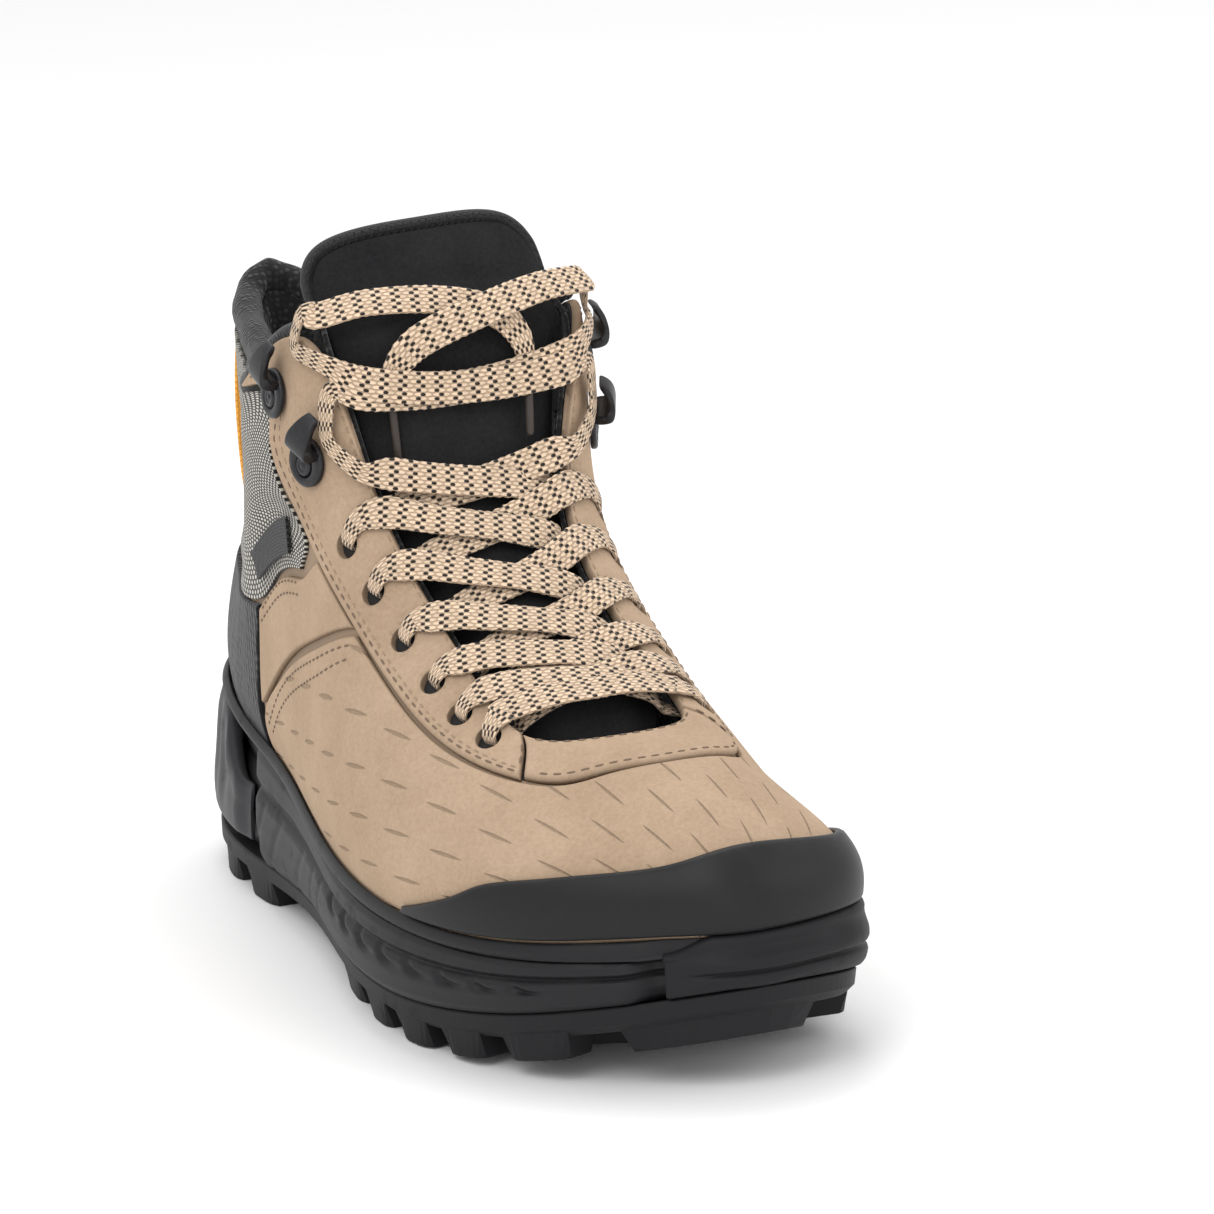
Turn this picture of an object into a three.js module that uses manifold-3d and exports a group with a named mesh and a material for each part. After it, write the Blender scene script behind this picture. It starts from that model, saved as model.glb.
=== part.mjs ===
// Mid-height hiking boot, right foot, in millimetres: toe at -Y, outer (lateral) side at -X, +Z up.
// The upper is one smooth skin; every layer and panel is cut from it as its own closed body.
import * as THREE from 'three';
import Module from 'manifold-3d';

// ---------- driving dimensions ----------
const LUG_DEPTH = 6;            // tread lugs below the outsole plate
const PLATE_TOP = 12.6;         // top of the outsole plate
const GAP = 0.3;                // clearance between neighbouring bodies
const SUEDE = [0.2, 1.7];       // offsets of the outer panels from the skin
const FACING = [0.2, 2.4];      // eyestay, thicker so it steps up from the vamp
const BACKING = [-1.5, -0.35];  // reinforcement under the eyestay
const CAP = [2.2, 4.0];         // rubber toe cap over the vamp
const BOOTIE = [-3.4, -2.4];    // membrane bootie lining
const STIFFENER = [-1.7, -0.8]; // toe puff and heel counter
const EYELETS = 6;              // punched holes on each side
const EYELET_FIRST = 2.9;       // station of the lowest hole
const EYELET_STEP = 0.53;       // station step between holes
const EYELET_S = 1.51;          // across position of the holes on the instep
const EYELET_RADIUS = 3.5;
const HOOKS = [6.33, 7.05];     // stations of the lower and upper hooks
const HOOK_S = [1.42, 1.34];    // across position of the hooks
const LACE_WIDTH = 8.4;
const LACE_THICK = 1.3;
const TOE_SPRING = 15;          // rise of the tread at the toe

// Sole outline: lateral x, medial x, y, from the toe round to the heel.
const SOLE = [
  [17, 17, -152], [-5, 42.5, -142.5], [-27, 54.5, -121.5], [-41, 59, -94], [-48, 58, -62], [-47, 51, -28],
  [-41, 44, 8], [-37, 41, 44], [-37, 40, 80], [-34, 37, 112], [-22, 25, 140], [1, 1, 151],
];
// Upper stations, toe to heel. Each holds six rows from the feather line to the top edge:
// lateral x, medial x, y, z.
const UPPER = [
  [[16, 16, -145, 36], [16, 16, -147, 49.5], [15, 15, -134, 63], [12, 12, -114, 71], [8, 8, -102, 74],
    [6, 6, -95, 76]],
  [[-2, 40, -137, 35], [-3, 41, -138, 48], [-3, 36, -127, 59.5], [-3, 26.5, -111, 69.5], [-5, 21, -100, 74],
    [-6, 17, -94, 76]],
  [[-23, 50, -118, 33], [-25, 51.5, -118, 45], [-22, 43.5, -113, 57], [-17, 34.5, -103, 67],
    [-14, 29, -94, 74],
    [-14, 24, -89, 77]],
  [[-37, 53.5, -93, 32], [-40, 54, -92, 44], [-37, 46, -88, 57], [-30, 37, -82, 70], [-22, 31, -78, 78],
    [-18, 25, -76, 82]],
  [[-43, 52, -62, 33], [-47, 54, -61, 46], [-44, 48, -59, 62], [-36, 38, -56, 78], [-26, 30, -56, 88],
    [-20, 22, -56, 93]],
  [[-43, 46, -29, 35], [-46, 48, -28, 50], [-44, 43, -28, 70], [-38, 36, -29, 91], [-30, 29, -30, 106],
    [-24, 20, -31, 113]],
  [[-38, 40, 7, 39], [-41, 42, 7, 54], [-40, 39, 3, 78], [-38, 36, -3, 105], [-34, 32, -10, 128],
    [-28, 26, -14, 139]],
  [[-33, 38, 42, 44], [-36, 40, 42, 58], [-36, 38, 37, 84], [-37, 37, 27, 116], [-38, 39, 12, 148],
    [-35, 36, 3, 166]],
  [[-31, 37, 75, 48], [-33, 38, 75, 60], [-33, 36, 71, 82], [-34, 36, 62, 108], [-36, 38, 51, 132],
    [-36.5, 37, 47, 146]],
  [[-26, 33, 104, 51], [-27, 33, 104, 62], [-25, 30, 99, 82], [-22, 26, 90, 106], [-26, 30, 82, 128],
    [-25, 29, 79, 144]],
  [[-16, 19, 129, 53], [-17, 20, 130, 64], [-16, 16, 124, 84], [-14, 12, 117, 108], [-15, 14, 116, 132],
    [-15, 14, 118, 150]],
  [[0, 0, 140, 54], [0, 0, 141, 66], [-1, -1, 134, 88], [-2, -2, 129, 112], [-2, -2, 128, 136],
    [-2, -2, 131, 156]],
];
const RING = 22;                // stations round the whole ring

// ---------- spline helpers ----------
const clamp = (x, a, b) => Math.min(b, Math.max(a, x));
const lerp = (a, b, t) => a + (b - a) * t;
const smooth = (a, b, x) => {
  const t = clamp((x - a) / (b - a), 0, 1);
  return t * t * (3 - 2 * t);
};
const basis = (t) => [
  (1 - t) ** 3 / 6,
  (3 * t ** 3 - 6 * t * t + 4) / 6,
  (-3 * t ** 3 + 3 * t * t + 3 * t + 1) / 6,
  t ** 3 / 6,
];
const combine = (weights, vectors) => vectors[0].map(
  (_, d) => weights.reduce((sum, w, k) => sum + w * vectors[k][d], 0));

function solveRing(points) {
  const c = points.map((p) => [...p]);
  const n = c.length;
  for (let pass = 0; pass < 60; pass++) {
    for (let i = 0; i < n; i++) {
      c[i] = points[i].map((p, d) => (6 * p - c[(i + n - 1) % n][d] - c[(i + 1) % n][d]) / 4);
    }
  }
  return c;
}

function solveOpen(points) {
  const c = points.map((p) => [...p]);
  for (let pass = 0; pass < 60; pass++) {
    for (let i = 1; i < c.length - 1; i++) {
      c[i] = points[i].map((p, d) => (6 * p - c[i - 1][d] - c[i + 1][d]) / 4);
    }
  }
  return c;
}

function ringAt(c, u) {
  const n = c.length;
  const i = Math.floor(u);
  const pick = [-1, 0, 1, 2].map((k) => c[(((i + k) % n) + n) % n]);
  return combine(basis(u - i), pick);
}

function openAt(c, v) {
  const n = c.length;
  const get = (i) => {
    if (i < 0) return c[0].map((p, d) => 2 * p - c[1][d]);
    if (i >= n) return c[n - 1].map((p, d) => 2 * p - c[n - 2][d]);
    return c[i];
  };
  const s = clamp(v, 0, 1) * (n - 1);
  const i = Math.min(Math.floor(s), n - 2);
  return combine(basis(s - i), [i - 1, i, i + 1, i + 2].map(get));
}

const both = (rows, pick) => {
  const lat = rows.map((r) => pick(r, 0));
  const med = rows.map((r) => pick(r, 1));
  return [...lat, ...med.slice(1, -1).reverse()];
};
const soleRing = solveRing(both(SOLE, (r, side) => [r[side], r[2]]));
const upperRows = [0, 1, 2, 3, 4, 5].map(
  (j) => both(UPPER, (s, side) => [s[j][side], s[j][2], s[j][3]]));
const netRaw = upperRows.map(solveRing);
const net = netRaw[0].map((_, i) => solveOpen(netRaw.map((row) => row[i])));
const netRows = [0, 1, 2, 3, 4, 5].map((j) => net.map((station) => station[j]));

const vec = (a) => new THREE.Vector3(a[0], a[1], a[2]);
const skinPoint = (u, v) => vec(openAt(netRows.map((row) => ringAt(row, u)), v));

function skinNormal(u, v) {
  const e = 0.02;
  const v0 = clamp(v, e, 1 - e);
  const du = skinPoint(u + e, v0).sub(skinPoint(u - e, v0));
  const dv = skinPoint(u, v0 + e).sub(skinPoint(u, v0 - e));
  return dv.cross(du).normalize();
}
const SIDE = skinNormal(4, 0.3).x < 0 ? 1 : -1;   // lateral wall must face -X
const skin = (u, v, off = 0) => skinPoint(u, v).addScaledVector(skinNormal(u, v), SIDE * off);

const spring = (y, z = 0) => TOE_SPRING * clamp((-y - 58) / 92, 0, 1) ** 2 * (1 - z / 240);

// Point on the sole outline at station u, moved out by off; the heel tapers in with height.
function sole(u, z, off = 0) {
  const p = ringAt(soleRing, u);
  const a = ringAt(soleRing, u - 0.02);
  const b = ringAt(soleRing, u + 0.02);
  const t = new THREE.Vector2(b[0] - a[0], b[1] - a[1]).normalize();
  const taper = 7 * smooth(40, 110, p[1]) * clamp((z - 8) / 46, -0.2, 1.2);
  const d = off - taper;
  const y = p[1] + t.x * d;
  return new THREE.Vector3(p[0] - t.y * d, y, z + spring(y, z));
}
const featherZ = (u) => skinPoint(u, 0).z;

// Instep: the skin carried across the throat. w is the station, s runs -1 (lateral edge) to +1
// (medial edge) and further out onto the panels, h is the height above it.
const ARCH_FLAT = 0.5;          // the arch across the throat flattens towards the ankle
const W_LOW = 2.4;
const W_TOP = 6.5;
const RISE = new THREE.Vector3(0, 24, 28);  // run of the tongue above the throat, per station
function instepPoint(w, s) {
  if (w > W_TOP) {
    const raised = instepPoint(W_TOP, s);
    const climb = raised.clone().sub(instepPoint(W_TOP - 0.2, s)).multiplyScalar(5);
    raised.addScaledVector(climb.lerp(RISE, smooth(0, 0.5, w - W_TOP)), w - W_TOP);
    if (Math.abs(s) < 1.05) return raised;
    const wall = skinPoint(s < 0 ? w : RING - w, 1 - (Math.abs(s) - 1) * 0.45);
    return raised.lerp(wall, smooth(1.05, 1.35, Math.abs(s)));
  }
  if (w < W_LOW) {
    const a = instepPoint(W_LOW, s);
    const b = instepPoint(W_LOW + 0.3, s);
    return a.addScaledVector(b.sub(a), (w - W_LOW) / 0.3);
  }
  if (Math.abs(s) > 1) {
    const v = 1 - (Math.abs(s) - 1) * 0.45;
    return skinPoint(s < 0 ? w : RING - w, v);
  }
  const a = skinPoint(w, 1);
  const b = skinPoint(RING - w, 1);
  const len = a.distanceTo(b) * lerp(1, ARCH_FLAT, smooth(3.2, 6, w));
  const ta = a.clone().sub(skinPoint(w, 0.95)).normalize().multiplyScalar(len);
  const tb = skinPoint(RING - w, 0.95).sub(b).normalize().multiplyScalar(len);
  const k = smooth(2.6, 4.2, w);          // at the throat corners the arch runs straight across
  const across = b.clone().sub(a).multiplyScalar(1 - k);
  const arch = new THREE.Vector3(0, 0, 0.3 * len * (1 - k));
  ta.multiplyScalar(k).add(across).add(arch);
  tb.multiplyScalar(k).add(across).sub(arch);
  const t = (s + 1) / 2;
  const p = a.multiplyScalar(2 * t ** 3 - 3 * t * t + 1);
  p.addScaledVector(ta, t ** 3 - 2 * t * t + t);
  p.addScaledVector(b, 3 * t * t - 2 * t ** 3);
  p.addScaledVector(tb, t ** 3 - t * t);
  return p;
}
function instepNormal(w, s) {
  const e = 0.04;
  const dw = instepPoint(w + e, s).sub(instepPoint(w - e, s));
  const ds = instepPoint(w, s + e).sub(instepPoint(w, s - e));
  return ds.cross(dw).normalize();
}
const instep = (w, s, h = 0) => instepPoint(w, s).addScaledVector(instepNormal(w, s), h);

// ---------- solid helpers ----------
function solid(positions, index) {
  let volume = 0;
  const p = (i) => positions[i];
  const cross = new THREE.Vector3();
  for (let k = 0; k < index.length; k += 3) {
    cross.crossVectors(p(index[k + 1]), p(index[k + 2]));
    volume += p(index[k]).dot(cross);
  }
  const order = volume < 0 ? [0, 2, 1] : [0, 1, 2];
  const faces = [];
  for (let k = 0; k < index.length; k += 3) {
    faces.push(index[k + order[0]], index[k + order[1]], index[k + order[2]]);
  }
  const geometry = new THREE.BufferGeometry();
  const flat = new Float32Array(positions.flatMap((q) => [q.x, q.y, q.z]));
  geometry.setAttribute('position', new THREE.BufferAttribute(flat, 3));
  geometry.setIndex(faces);
  return geometry;
}

// Closed body between two sheets of nu x nv points; wrap joins the first and last u columns.
function sheetSolid(inner, outer, nu, nv, wrap = false) {
  const positions = [];
  const id = (layer, i, j) => (layer * (wrap ? nu : nu + 1) + (wrap ? i % nu : i)) * (nv + 1) + j;
  for (const f of [inner, outer]) {
    for (let i = 0; i < (wrap ? nu : nu + 1); i++) {
      for (let j = 0; j <= nv; j++) positions.push(f(i / nu, j / nv));
    }
  }
  const index = [];
  const quad = (a, b, c, d) => index.push(a, b, c, a, c, d);
  for (let i = 0; i < nu; i++) {
    for (let j = 0; j < nv; j++) {
      quad(id(0, i, j), id(0, i, j + 1), id(0, i + 1, j + 1), id(0, i + 1, j));
      quad(id(1, i, j), id(1, i + 1, j), id(1, i + 1, j + 1), id(1, i, j + 1));
    }
    quad(id(0, i, 0), id(0, i + 1, 0), id(1, i + 1, 0), id(1, i, 0));
    quad(id(0, i, nv), id(1, i, nv), id(1, i + 1, nv), id(0, i + 1, nv));
  }
  if (!wrap) {
    for (let j = 0; j < nv; j++) {
      quad(id(0, 0, j), id(1, 0, j), id(1, 0, j + 1), id(0, 0, j + 1));
      quad(id(0, nu, j), id(0, nu, j + 1), id(1, nu, j + 1), id(1, nu, j));
    }
  }
  return solid(positions, index);
}

// Loft of a closed profile; profile(t) gives a loop of points. Open lofts get fan caps.
function loft(profile, n, wrap = false) {
  const rings = [];
  for (let i = 0; i < (wrap ? n : n + 1); i++) rings.push(profile(i / n));
  const m = rings[0].length;
  const positions = rings.flat();
  const index = [];
  const id = (i, j) => (i % rings.length) * m + (j % m);
  for (let i = 0; i < n; i++) {
    for (let j = 0; j < m; j++) {
      index.push(id(i, j), id(i, j + 1), id(i + 1, j + 1), id(i, j), id(i + 1, j + 1), id(i + 1, j));
    }
  }
  if (!wrap) {
    for (const [i, flip] of [[0, false], [n, true]]) {
      const centre = positions.length;
      const sum = rings[i].reduce((s, p) => s.add(p), new THREE.Vector3());
      positions.push(sum.multiplyScalar(1 / m));
      for (let j = 0; j < m; j++) {
        if (flip) index.push(centre, id(i, j), id(i, j + 1));
        else index.push(centre, id(i, j + 1), id(i, j));
      }
    }
  }
  return solid(positions, index);
}

// Stack of rings round the sole with ribbed caps; rings[k](u) gives a point, dish lowers the top.
function stack(rings, n, across, dish = () => 0, lift = () => 0) {
  const positions = [];
  const index = [];
  rings.forEach((ring) => {
    for (let i = 0; i < n; i++) positions.push(ring((RING * i) / n));
  });
  const id = (k, i) => k * n + ((i + n) % n);
  for (let k = 0; k + 1 < rings.length; k++) {
    for (let i = 0; i < n; i++) {
      index.push(id(k, i), id(k, i + 1), id(k + 1, i + 1), id(k, i), id(k + 1, i + 1), id(k + 1, i));
    }
  }
  const half = n / 2;
  for (const [k, top] of [[0, false], [rings.length - 1, true]]) {
    const rows = [];
    for (let i = 1; i < half; i++) {
      const a = positions[id(k, i)];
      const b = positions[id(k, n - i)];
      const row = [id(k, i)];
      for (let j = 1; j < across; j++) {
        const p = a.clone().lerp(b, j / across);
        p.z += top ? dish(i / half, j / across) : lift(i / half, j / across);
        positions.push(p);
        row.push(positions.length - 1);
      }
      row.push(id(k, n - i));
      rows.push(row);
    }
    const tri = (a, b, c) => (top ? index.push(a, b, c) : index.push(a, c, b));
    for (let j = 0; j < across; j++) {
      tri(id(k, 0), rows[0][j], rows[0][j + 1]);
      const last = rows[rows.length - 1];
      tri(id(k, half), last[j + 1], last[j]);
    }
    for (let i = 0; i + 1 < rows.length; i++) {
      for (let j = 0; j < across; j++) {
        tri(rows[i][j], rows[i + 1][j], rows[i + 1][j + 1]);
        tri(rows[i][j], rows[i + 1][j + 1], rows[i][j + 1]);
      }
    }
  }
  return solid(positions, index);
}

// Piecewise curve in (u, v) through a few control points.
function curve(points) {
  const line = new THREE.CatmullRomCurve3(
    points.map((p) => new THREE.Vector3(p[0], p[1] * 10, 0)), false, 'centripetal');
  return (t) => {
    const p = line.getPoint(clamp(t, 0, 1));
    return [p.x, p.y / 10];
  };
}

// Coons patch between four (u, v) boundary curves.
function patch(bottom, top, left, right) {
  const [b, t, l, r] = [bottom, top, left, right].map(curve);
  return (x, y) => [0, 1].map((d) => (1 - y) * b(x)[d] + y * t(x)[d] + (1 - x) * l(y)[d]
    + x * r(y)[d] - (1 - x) * (1 - y) * b(0)[d] - x * (1 - y) * b(1)[d]
    - (1 - x) * y * t(0)[d] - x * y * t(1)[d]);
}

function panel(map, offsets, nu, nv) {
  const at = (off) => (x, y) => {
    const [u, v] = map(x, y);
    return skin(u, v, typeof off === 'function' ? off(u, v, x, y) : off);
  };
  return sheetSolid(at(offsets[0]), at(offsets[1]), nu, nv);
}
const mirror = (points) => points.map(([u, v]) => [RING - u, v]);

// ---------- manifold helpers ----------
const wasm = await Module();
wasm.setup();
function toManifold(geometry) {
  const g = geometry.index ? geometry : geometry.clone();
  const key = new Map();
  const verts = [];
  const remap = [];
  const pos = g.attributes.position;
  for (let i = 0; i < pos.count; i++) {
    const k = [pos.getX(i), pos.getY(i), pos.getZ(i)].map((x) => Math.round(x * 1e4)).join();
    if (!key.has(k)) {
      key.set(k, verts.length / 3);
      verts.push(pos.getX(i), pos.getY(i), pos.getZ(i));
    }
    remap.push(key.get(k));
  }
  const source = g.index ? Array.from(g.index.array) : remap.map((_, i) => i);
  const tris = [];
  for (let k = 0; k < source.length; k += 3) {
    const [a, b, c] = [remap[source[k]], remap[source[k + 1]], remap[source[k + 2]]];
    if (a !== b && b !== c && a !== c) tris.push(a, b, c);
  }
  return new wasm.Manifold(new wasm.Mesh({
    numProp: 3, vertProperties: new Float32Array(verts), triVerts: new Uint32Array(tris),
  }));
}
function fromManifold(body) {
  const mesh = body.getMesh();
  const geometry = new THREE.BufferGeometry();
  geometry.setAttribute('position', new THREE.BufferAttribute(new Float32Array(mesh.vertProperties), 3));
  geometry.setIndex(Array.from(mesh.triVerts));
  return geometry;
}

// ---------- assembly ----------
const boot = new THREE.Group();
boot.name = 'hiking_boot';
function add(name, geometry, color, roughness = 0.85, metalness = 0) {
  const material = new THREE.MeshStandardMaterial({ color, roughness, metalness });
  const mesh = new THREE.Mesh(geometry, material);
  mesh.name = name;
  boot.add(mesh);
  return mesh;
}
const TAN = 0xa98f74;
const BLACK = 0x1b1b1d;
const RUBBER = 0x232426;
const GREY = 0x3a3b3e;

// ---------- sole unit ----------
function lug(u0, u1, out, inn, n = 2) {
  const lean = 1.2;
  const corner = (t, off, z) => sole(lerp(u0, u1, t), z, off);
  return loft((t) => {
    const s = lerp(0.04, 0.96, t);
    return [
      corner(t, out, PLATE_TOP - 4), corner(t, inn, PLATE_TOP - 4),
      corner(s, inn + lean, 0), corner(s, out - lean, 0),
    ];
  }, n);
}
function outsole() {
  const n = 52;
  let body = toManifold(stack([
    (u) => sole(u, LUG_DEPTH, -4.5), (u) => sole(u, LUG_DEPTH + 2, -2.5),
    (u) => sole(u, PLATE_TOP, -2.2),
  ], n, 2));
  const starts = [1.9, 2.85, 3.55, 4.25, 4.95, 7.6, 8.5, 9.4];
  const spans = [0.7, 0.5, 0.5, 0.5, 0.6, 0.62, 0.62, 0.8];
  starts.forEach((u, k) => {
    for (const side of [0, 1]) {
      const a = side ? RING - u - spans[k] : u;
      body = body.add(toManifold(lug(a, a + spans[k], -3, -17)));
    }
  });
  body = body.add(toManifold(lug(-0.7, 1.5, -4, -15, 4)));
  body = body.add(toManifold(lug(10.45, 11.55, -3, -15, 4)));
  const chevrons = [-108, -86, -64, -42, 62, 88];
  chevrons.forEach((y) => {
    const x = y < 0 ? 7 : 1;
    const wide = y < 0 ? 24 : 13;
    const shape = new THREE.Shape();
    [[-wide, 7], [0, -4], [wide, 7], [wide, 15], [0, 4], [-wide, 15]].forEach((p, i) => {
      if (i) shape.lineTo(p[0], p[1]);
      else shape.moveTo(p[0], p[1]);
    });
    const tall = PLATE_TOP - 4 + spring(y);
    const g = new THREE.ExtrudeGeometry(shape, { depth: tall - spring(y), bevelEnabled: false });
    g.translate(x, y, spring(y));
    g.deleteAttribute('normal');
    g.deleteAttribute('uv');
    body = body.add(toManifold(g));
  });
  return fromManifold(body);
}
add('outsole', outsole(), RUBBER, 0.8);

// Recess depth of the midsole wall where the bumper and the stabiliser wrap over it.
const BUMPER = [-2.55, 1.0];
const STAB = [7.95, 14.05];
function recess(u) {
  const r = u > 11 ? u - RING : u;
  const within = (x, [a, b]) => smooth(a - 0.4, a - 0.08, x) * (1 - smooth(b + 0.08, b + 0.4, x));
  const toe = within(r, BUMPER);
  const heel = within(u, STAB);
  return 5.2 * toe + 4.4 * heel;
}
const wallTop = (u) => featherZ(u) - 1.2;
function wall(u, f, off) {
  const z0 = PLATE_TOP + GAP;
  const p = sole(u, z0, 0);
  const top = wallTop(u) - spring(p.y, z0);
  const z = lerp(z0, top, f);
  const q = sole(u, z, off);
  q.z = lerp(z0 + spring(q.y, z0), wallTop(u), f);
  return q;
}
const wallLevels = [[0, -1.8], [0.12, 0], [0.35, 0.9], [0.6, 0.8], [0.66, -0.7], [0.72, 0.4], [1, -0.6]];
const midsole = stack(
  wallLevels.map(([f, off]) => (u) => wall(u, f, off - recess(u))), 56, 6,
  (t, s) => -3.4 * smooth(0.12, 0.3, s) * (1 - smooth(0.7, 0.88, s)) * smooth(0.06, 0.16, t)
    * (1 - smooth(0.88, 0.96, t)));
add('midsole', midsole, 0x2a2b2e, 0.75);

// Rim band round the feather line, standing off the upper.
const rimProfile = (u) => {
  const low = skin(u, 0, 2.1);
  const outer = wall(u, 1, -0.6);
  return [
    new THREE.Vector3(low.x, low.y, wallTop(u) + GAP), skin(u, 0.062, 2.1), skin(u, 0.058, 3.6),
    skin(u, 0.02, 4.6).lerp(outer, 0.25), new THREE.Vector3(outer.x, outer.y, wallTop(u) + GAP),
  ];
};
const RIM = [BUMPER[1] + 0.06, RING + BUMPER[0] - 0.06];
add('rim_band', loft((t) => rimProfile(lerp(RIM[0], RIM[1], t)), 48), 0x28292b, 0.6);

// Toe bumper: tread rubber wrapped up over the toe.
const bumper = loft((t) => {
  const u = lerp(BUMPER[1], BUMPER[0], t);
  const ends = smooth(0, 0.16, t) * (1 - smooth(0.84, 1, t));
  const top = lerp(0.012, 0.066, ends);
  const at = (f, off) => wall(u, f, off);
  return [
    at(0, -5.4), at(0, -0.9), at(0.2, 0.6), at(0.55, 1.2), at(0.95, 0.6), skin(u, top, 5.0),
    skin(u, top + 0.014, 2.3), skin(u, 0.0, 2.3).setZ(wallTop(u) + GAP), at(1, -3.9).setZ(wallTop(u) + GAP),
    at(1, -3.9), at(0.6, -2.9), at(0.2, -3.2),
  ];
}, 14);
add('toe_bumper', bumper, RUBBER, 0.8);

// Heel stabiliser: fluted cup with a wave crest at each end.
const stabiliser = loft((t) => {
  const u = lerp(STAB[0], STAB[1], t);
  const wave = 0.55 + 0.42 * smooth(0.02, 0.14, t) * (1 - smooth(0.86, 0.98, t));
  const flute = 0.5 * Math.cos(t * Math.PI * 26);
  return [
    wall(u, 0.1, -3.1), wall(u, 0.1, -0.6), wall(u, 0.3, 0.7 + flute * 0.4),
    wall(u, wave * 0.75, 0.9 + flute), wall(u, wave, 0.5), wall(u, wave, -3.0),
    wall(u, 0.72, -2.7).lerp(wall(u, wave * 0.75, -2.3), wave < 0.8 ? 1 : 0), wall(u, 0.3, -2.2),
  ];
}, 46);
add('heel_stabiliser', stabiliser, GREY, 0.6);

// Layers under the foot, all following the feather line.
const inset = (u, off) => {
  const p = skinPoint(u, 0);
  const n = skinNormal(u, 0.1).multiplyScalar(SIDE);
  n.z = 0;
  n.normalize();
  return p.addScaledVector(n, off);
};
function layer(off, z0, z1, shrink = 0) {
  return stack([
    (u) => inset(u, off).add(new THREE.Vector3(0, 0, z0)),
    (u) => inset(u, off + shrink).add(new THREE.Vector3(0, 0, z1)),
  ], 44, 4);
}
add('lasting_board', layer(-5.2, -0.6, 1.2), 0x8a8378, 0.9);
add('footbed_foam', layer(-8.5, 1.5, 6.2), 0x4c4f55, 0.95);
add('footbed_cover', layer(-8.5, 6.5, 7.6, -0.6), 0x222326, 0.95);
const shankProfile = (t) => {
  const y = lerp(-25, 75, t);
  const half = lerp(11, 8, Math.abs(t - 0.5) * 2);
  const u = clamp(5.1 + (y + 25) / 34, 0, 11);
  const z = (wallTop(u) + wallTop(RING - u)) / 2 - 2.6;
  return [[-half, 0], [half, 0], [half, 1.2], [-half, 1.2]].map(
    ([x, dz]) => new THREE.Vector3(x + 1.5, y, z + dz));
};
add('shank', loft(shankProfile, 10), 0xa9adb2, 0.35, 0.8);

// ---------- lining and stiffeners ----------
const bootieTop = (u) => 0.7 - 0.02 * Math.cos((2 * Math.PI * u) / RING);
const bootie = (off) => (x, y) => skin(x * RING, lerp(0.004, bootieTop(x * RING), y), off);
add('bootie_lining', sheetSolid(bootie(BOOTIE[0]), bootie(BOOTIE[1]), 44, 5, true), 0x303236, 0.95);
const span = (u0, u1, low, high) => (x, y) => {
  const u = lerp(u0, u1, x);
  return [u, lerp(low(u, x), high(u, x), y)];
};
const arch = (x) => Math.sin(Math.PI * x);
const puff = span(-3, 3, () => 0.01, (u, x) => 0.03 + 0.3 * arch(x) ** 0.6);
add('toe_puff', panel(puff, STIFFENER, 22, 3), 0x9b948a, 0.8);
const counter = span(7.9, 14.1, () => 0.01, (u, x) => 0.05 + 0.3 * arch(x) ** 0.5);
add('heel_counter', panel(counter, STIFFENER, 22, 3), 0x9b948a, 0.8);

// ---------- outer panels ----------
const vampSeam = [[7.28, 0.005], [7.26, 0.2], [6.7, 0.325], [5.6, 0.515], [5.02, 0.635]];
const vampMap = patch(
  [[7.28, 0.005], [3.6, 0.005], [0, 0.005], [-3.6, 0.005], [-7.28, 0.005]],
  [[5.02, 0.635], [3.4, 0.63], [1.8, 0.64], [0, 0.65], [-1.8, 0.64], [-3.4, 0.63], [-5.02, 0.635]],
  vampSeam, vampSeam.map(([u, v]) => [-u, v]));
add('vamp', panel(vampMap, SUEDE, 36, 6), TAN, 0.95);
const quarterSides = [
  [[5.09, 0.643], [5.68, 0.523], [6.78, 0.335], [7.35, 0.21]],
  [[5.95, 0.64], [6.25, 0.56], [6.8, 0.5], [7.4, 0.415]],
  [[5.09, 0.643], [5.95, 0.64]],
  [[7.35, 0.21], [7.4, 0.415]],
];
const weaveSides = [
  [[6.32, 0.568], [6.86, 0.508], [7.45, 0.432], [9, 0.44], [10.4, 0.45]],
  [[7.98, 0.965], [9, 0.965], [10.4, 0.965]],
  [[6.32, 0.568], [6.28, 0.63], [6.85, 0.64], [7.17, 0.7], [7.22, 0.77], [7.98, 0.965]],
  [[10.4, 0.45], [10.4, 0.965]],
];
const facingSides = [
  [[2.35, 0.65], [3.6, 0.645], [5.2, 0.65], [6.1, 0.652], [6.8, 0.665], [7.08, 0.71], [7.14, 0.78],
    [7.88, 0.965]],
  [[2.35, 1], [3.4, 1], [4.4, 1], [5.4, 1], [6.4, 1], [7, 0.99], [7.6, 0.985], [7.95, 0.99]],
  [[2.35, 0.65], [2.35, 1]],
  [[7.88, 0.965], [7.95, 0.99]],
];
const sides = [['lateral', (q) => q], ['medial', mirror]];

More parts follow.
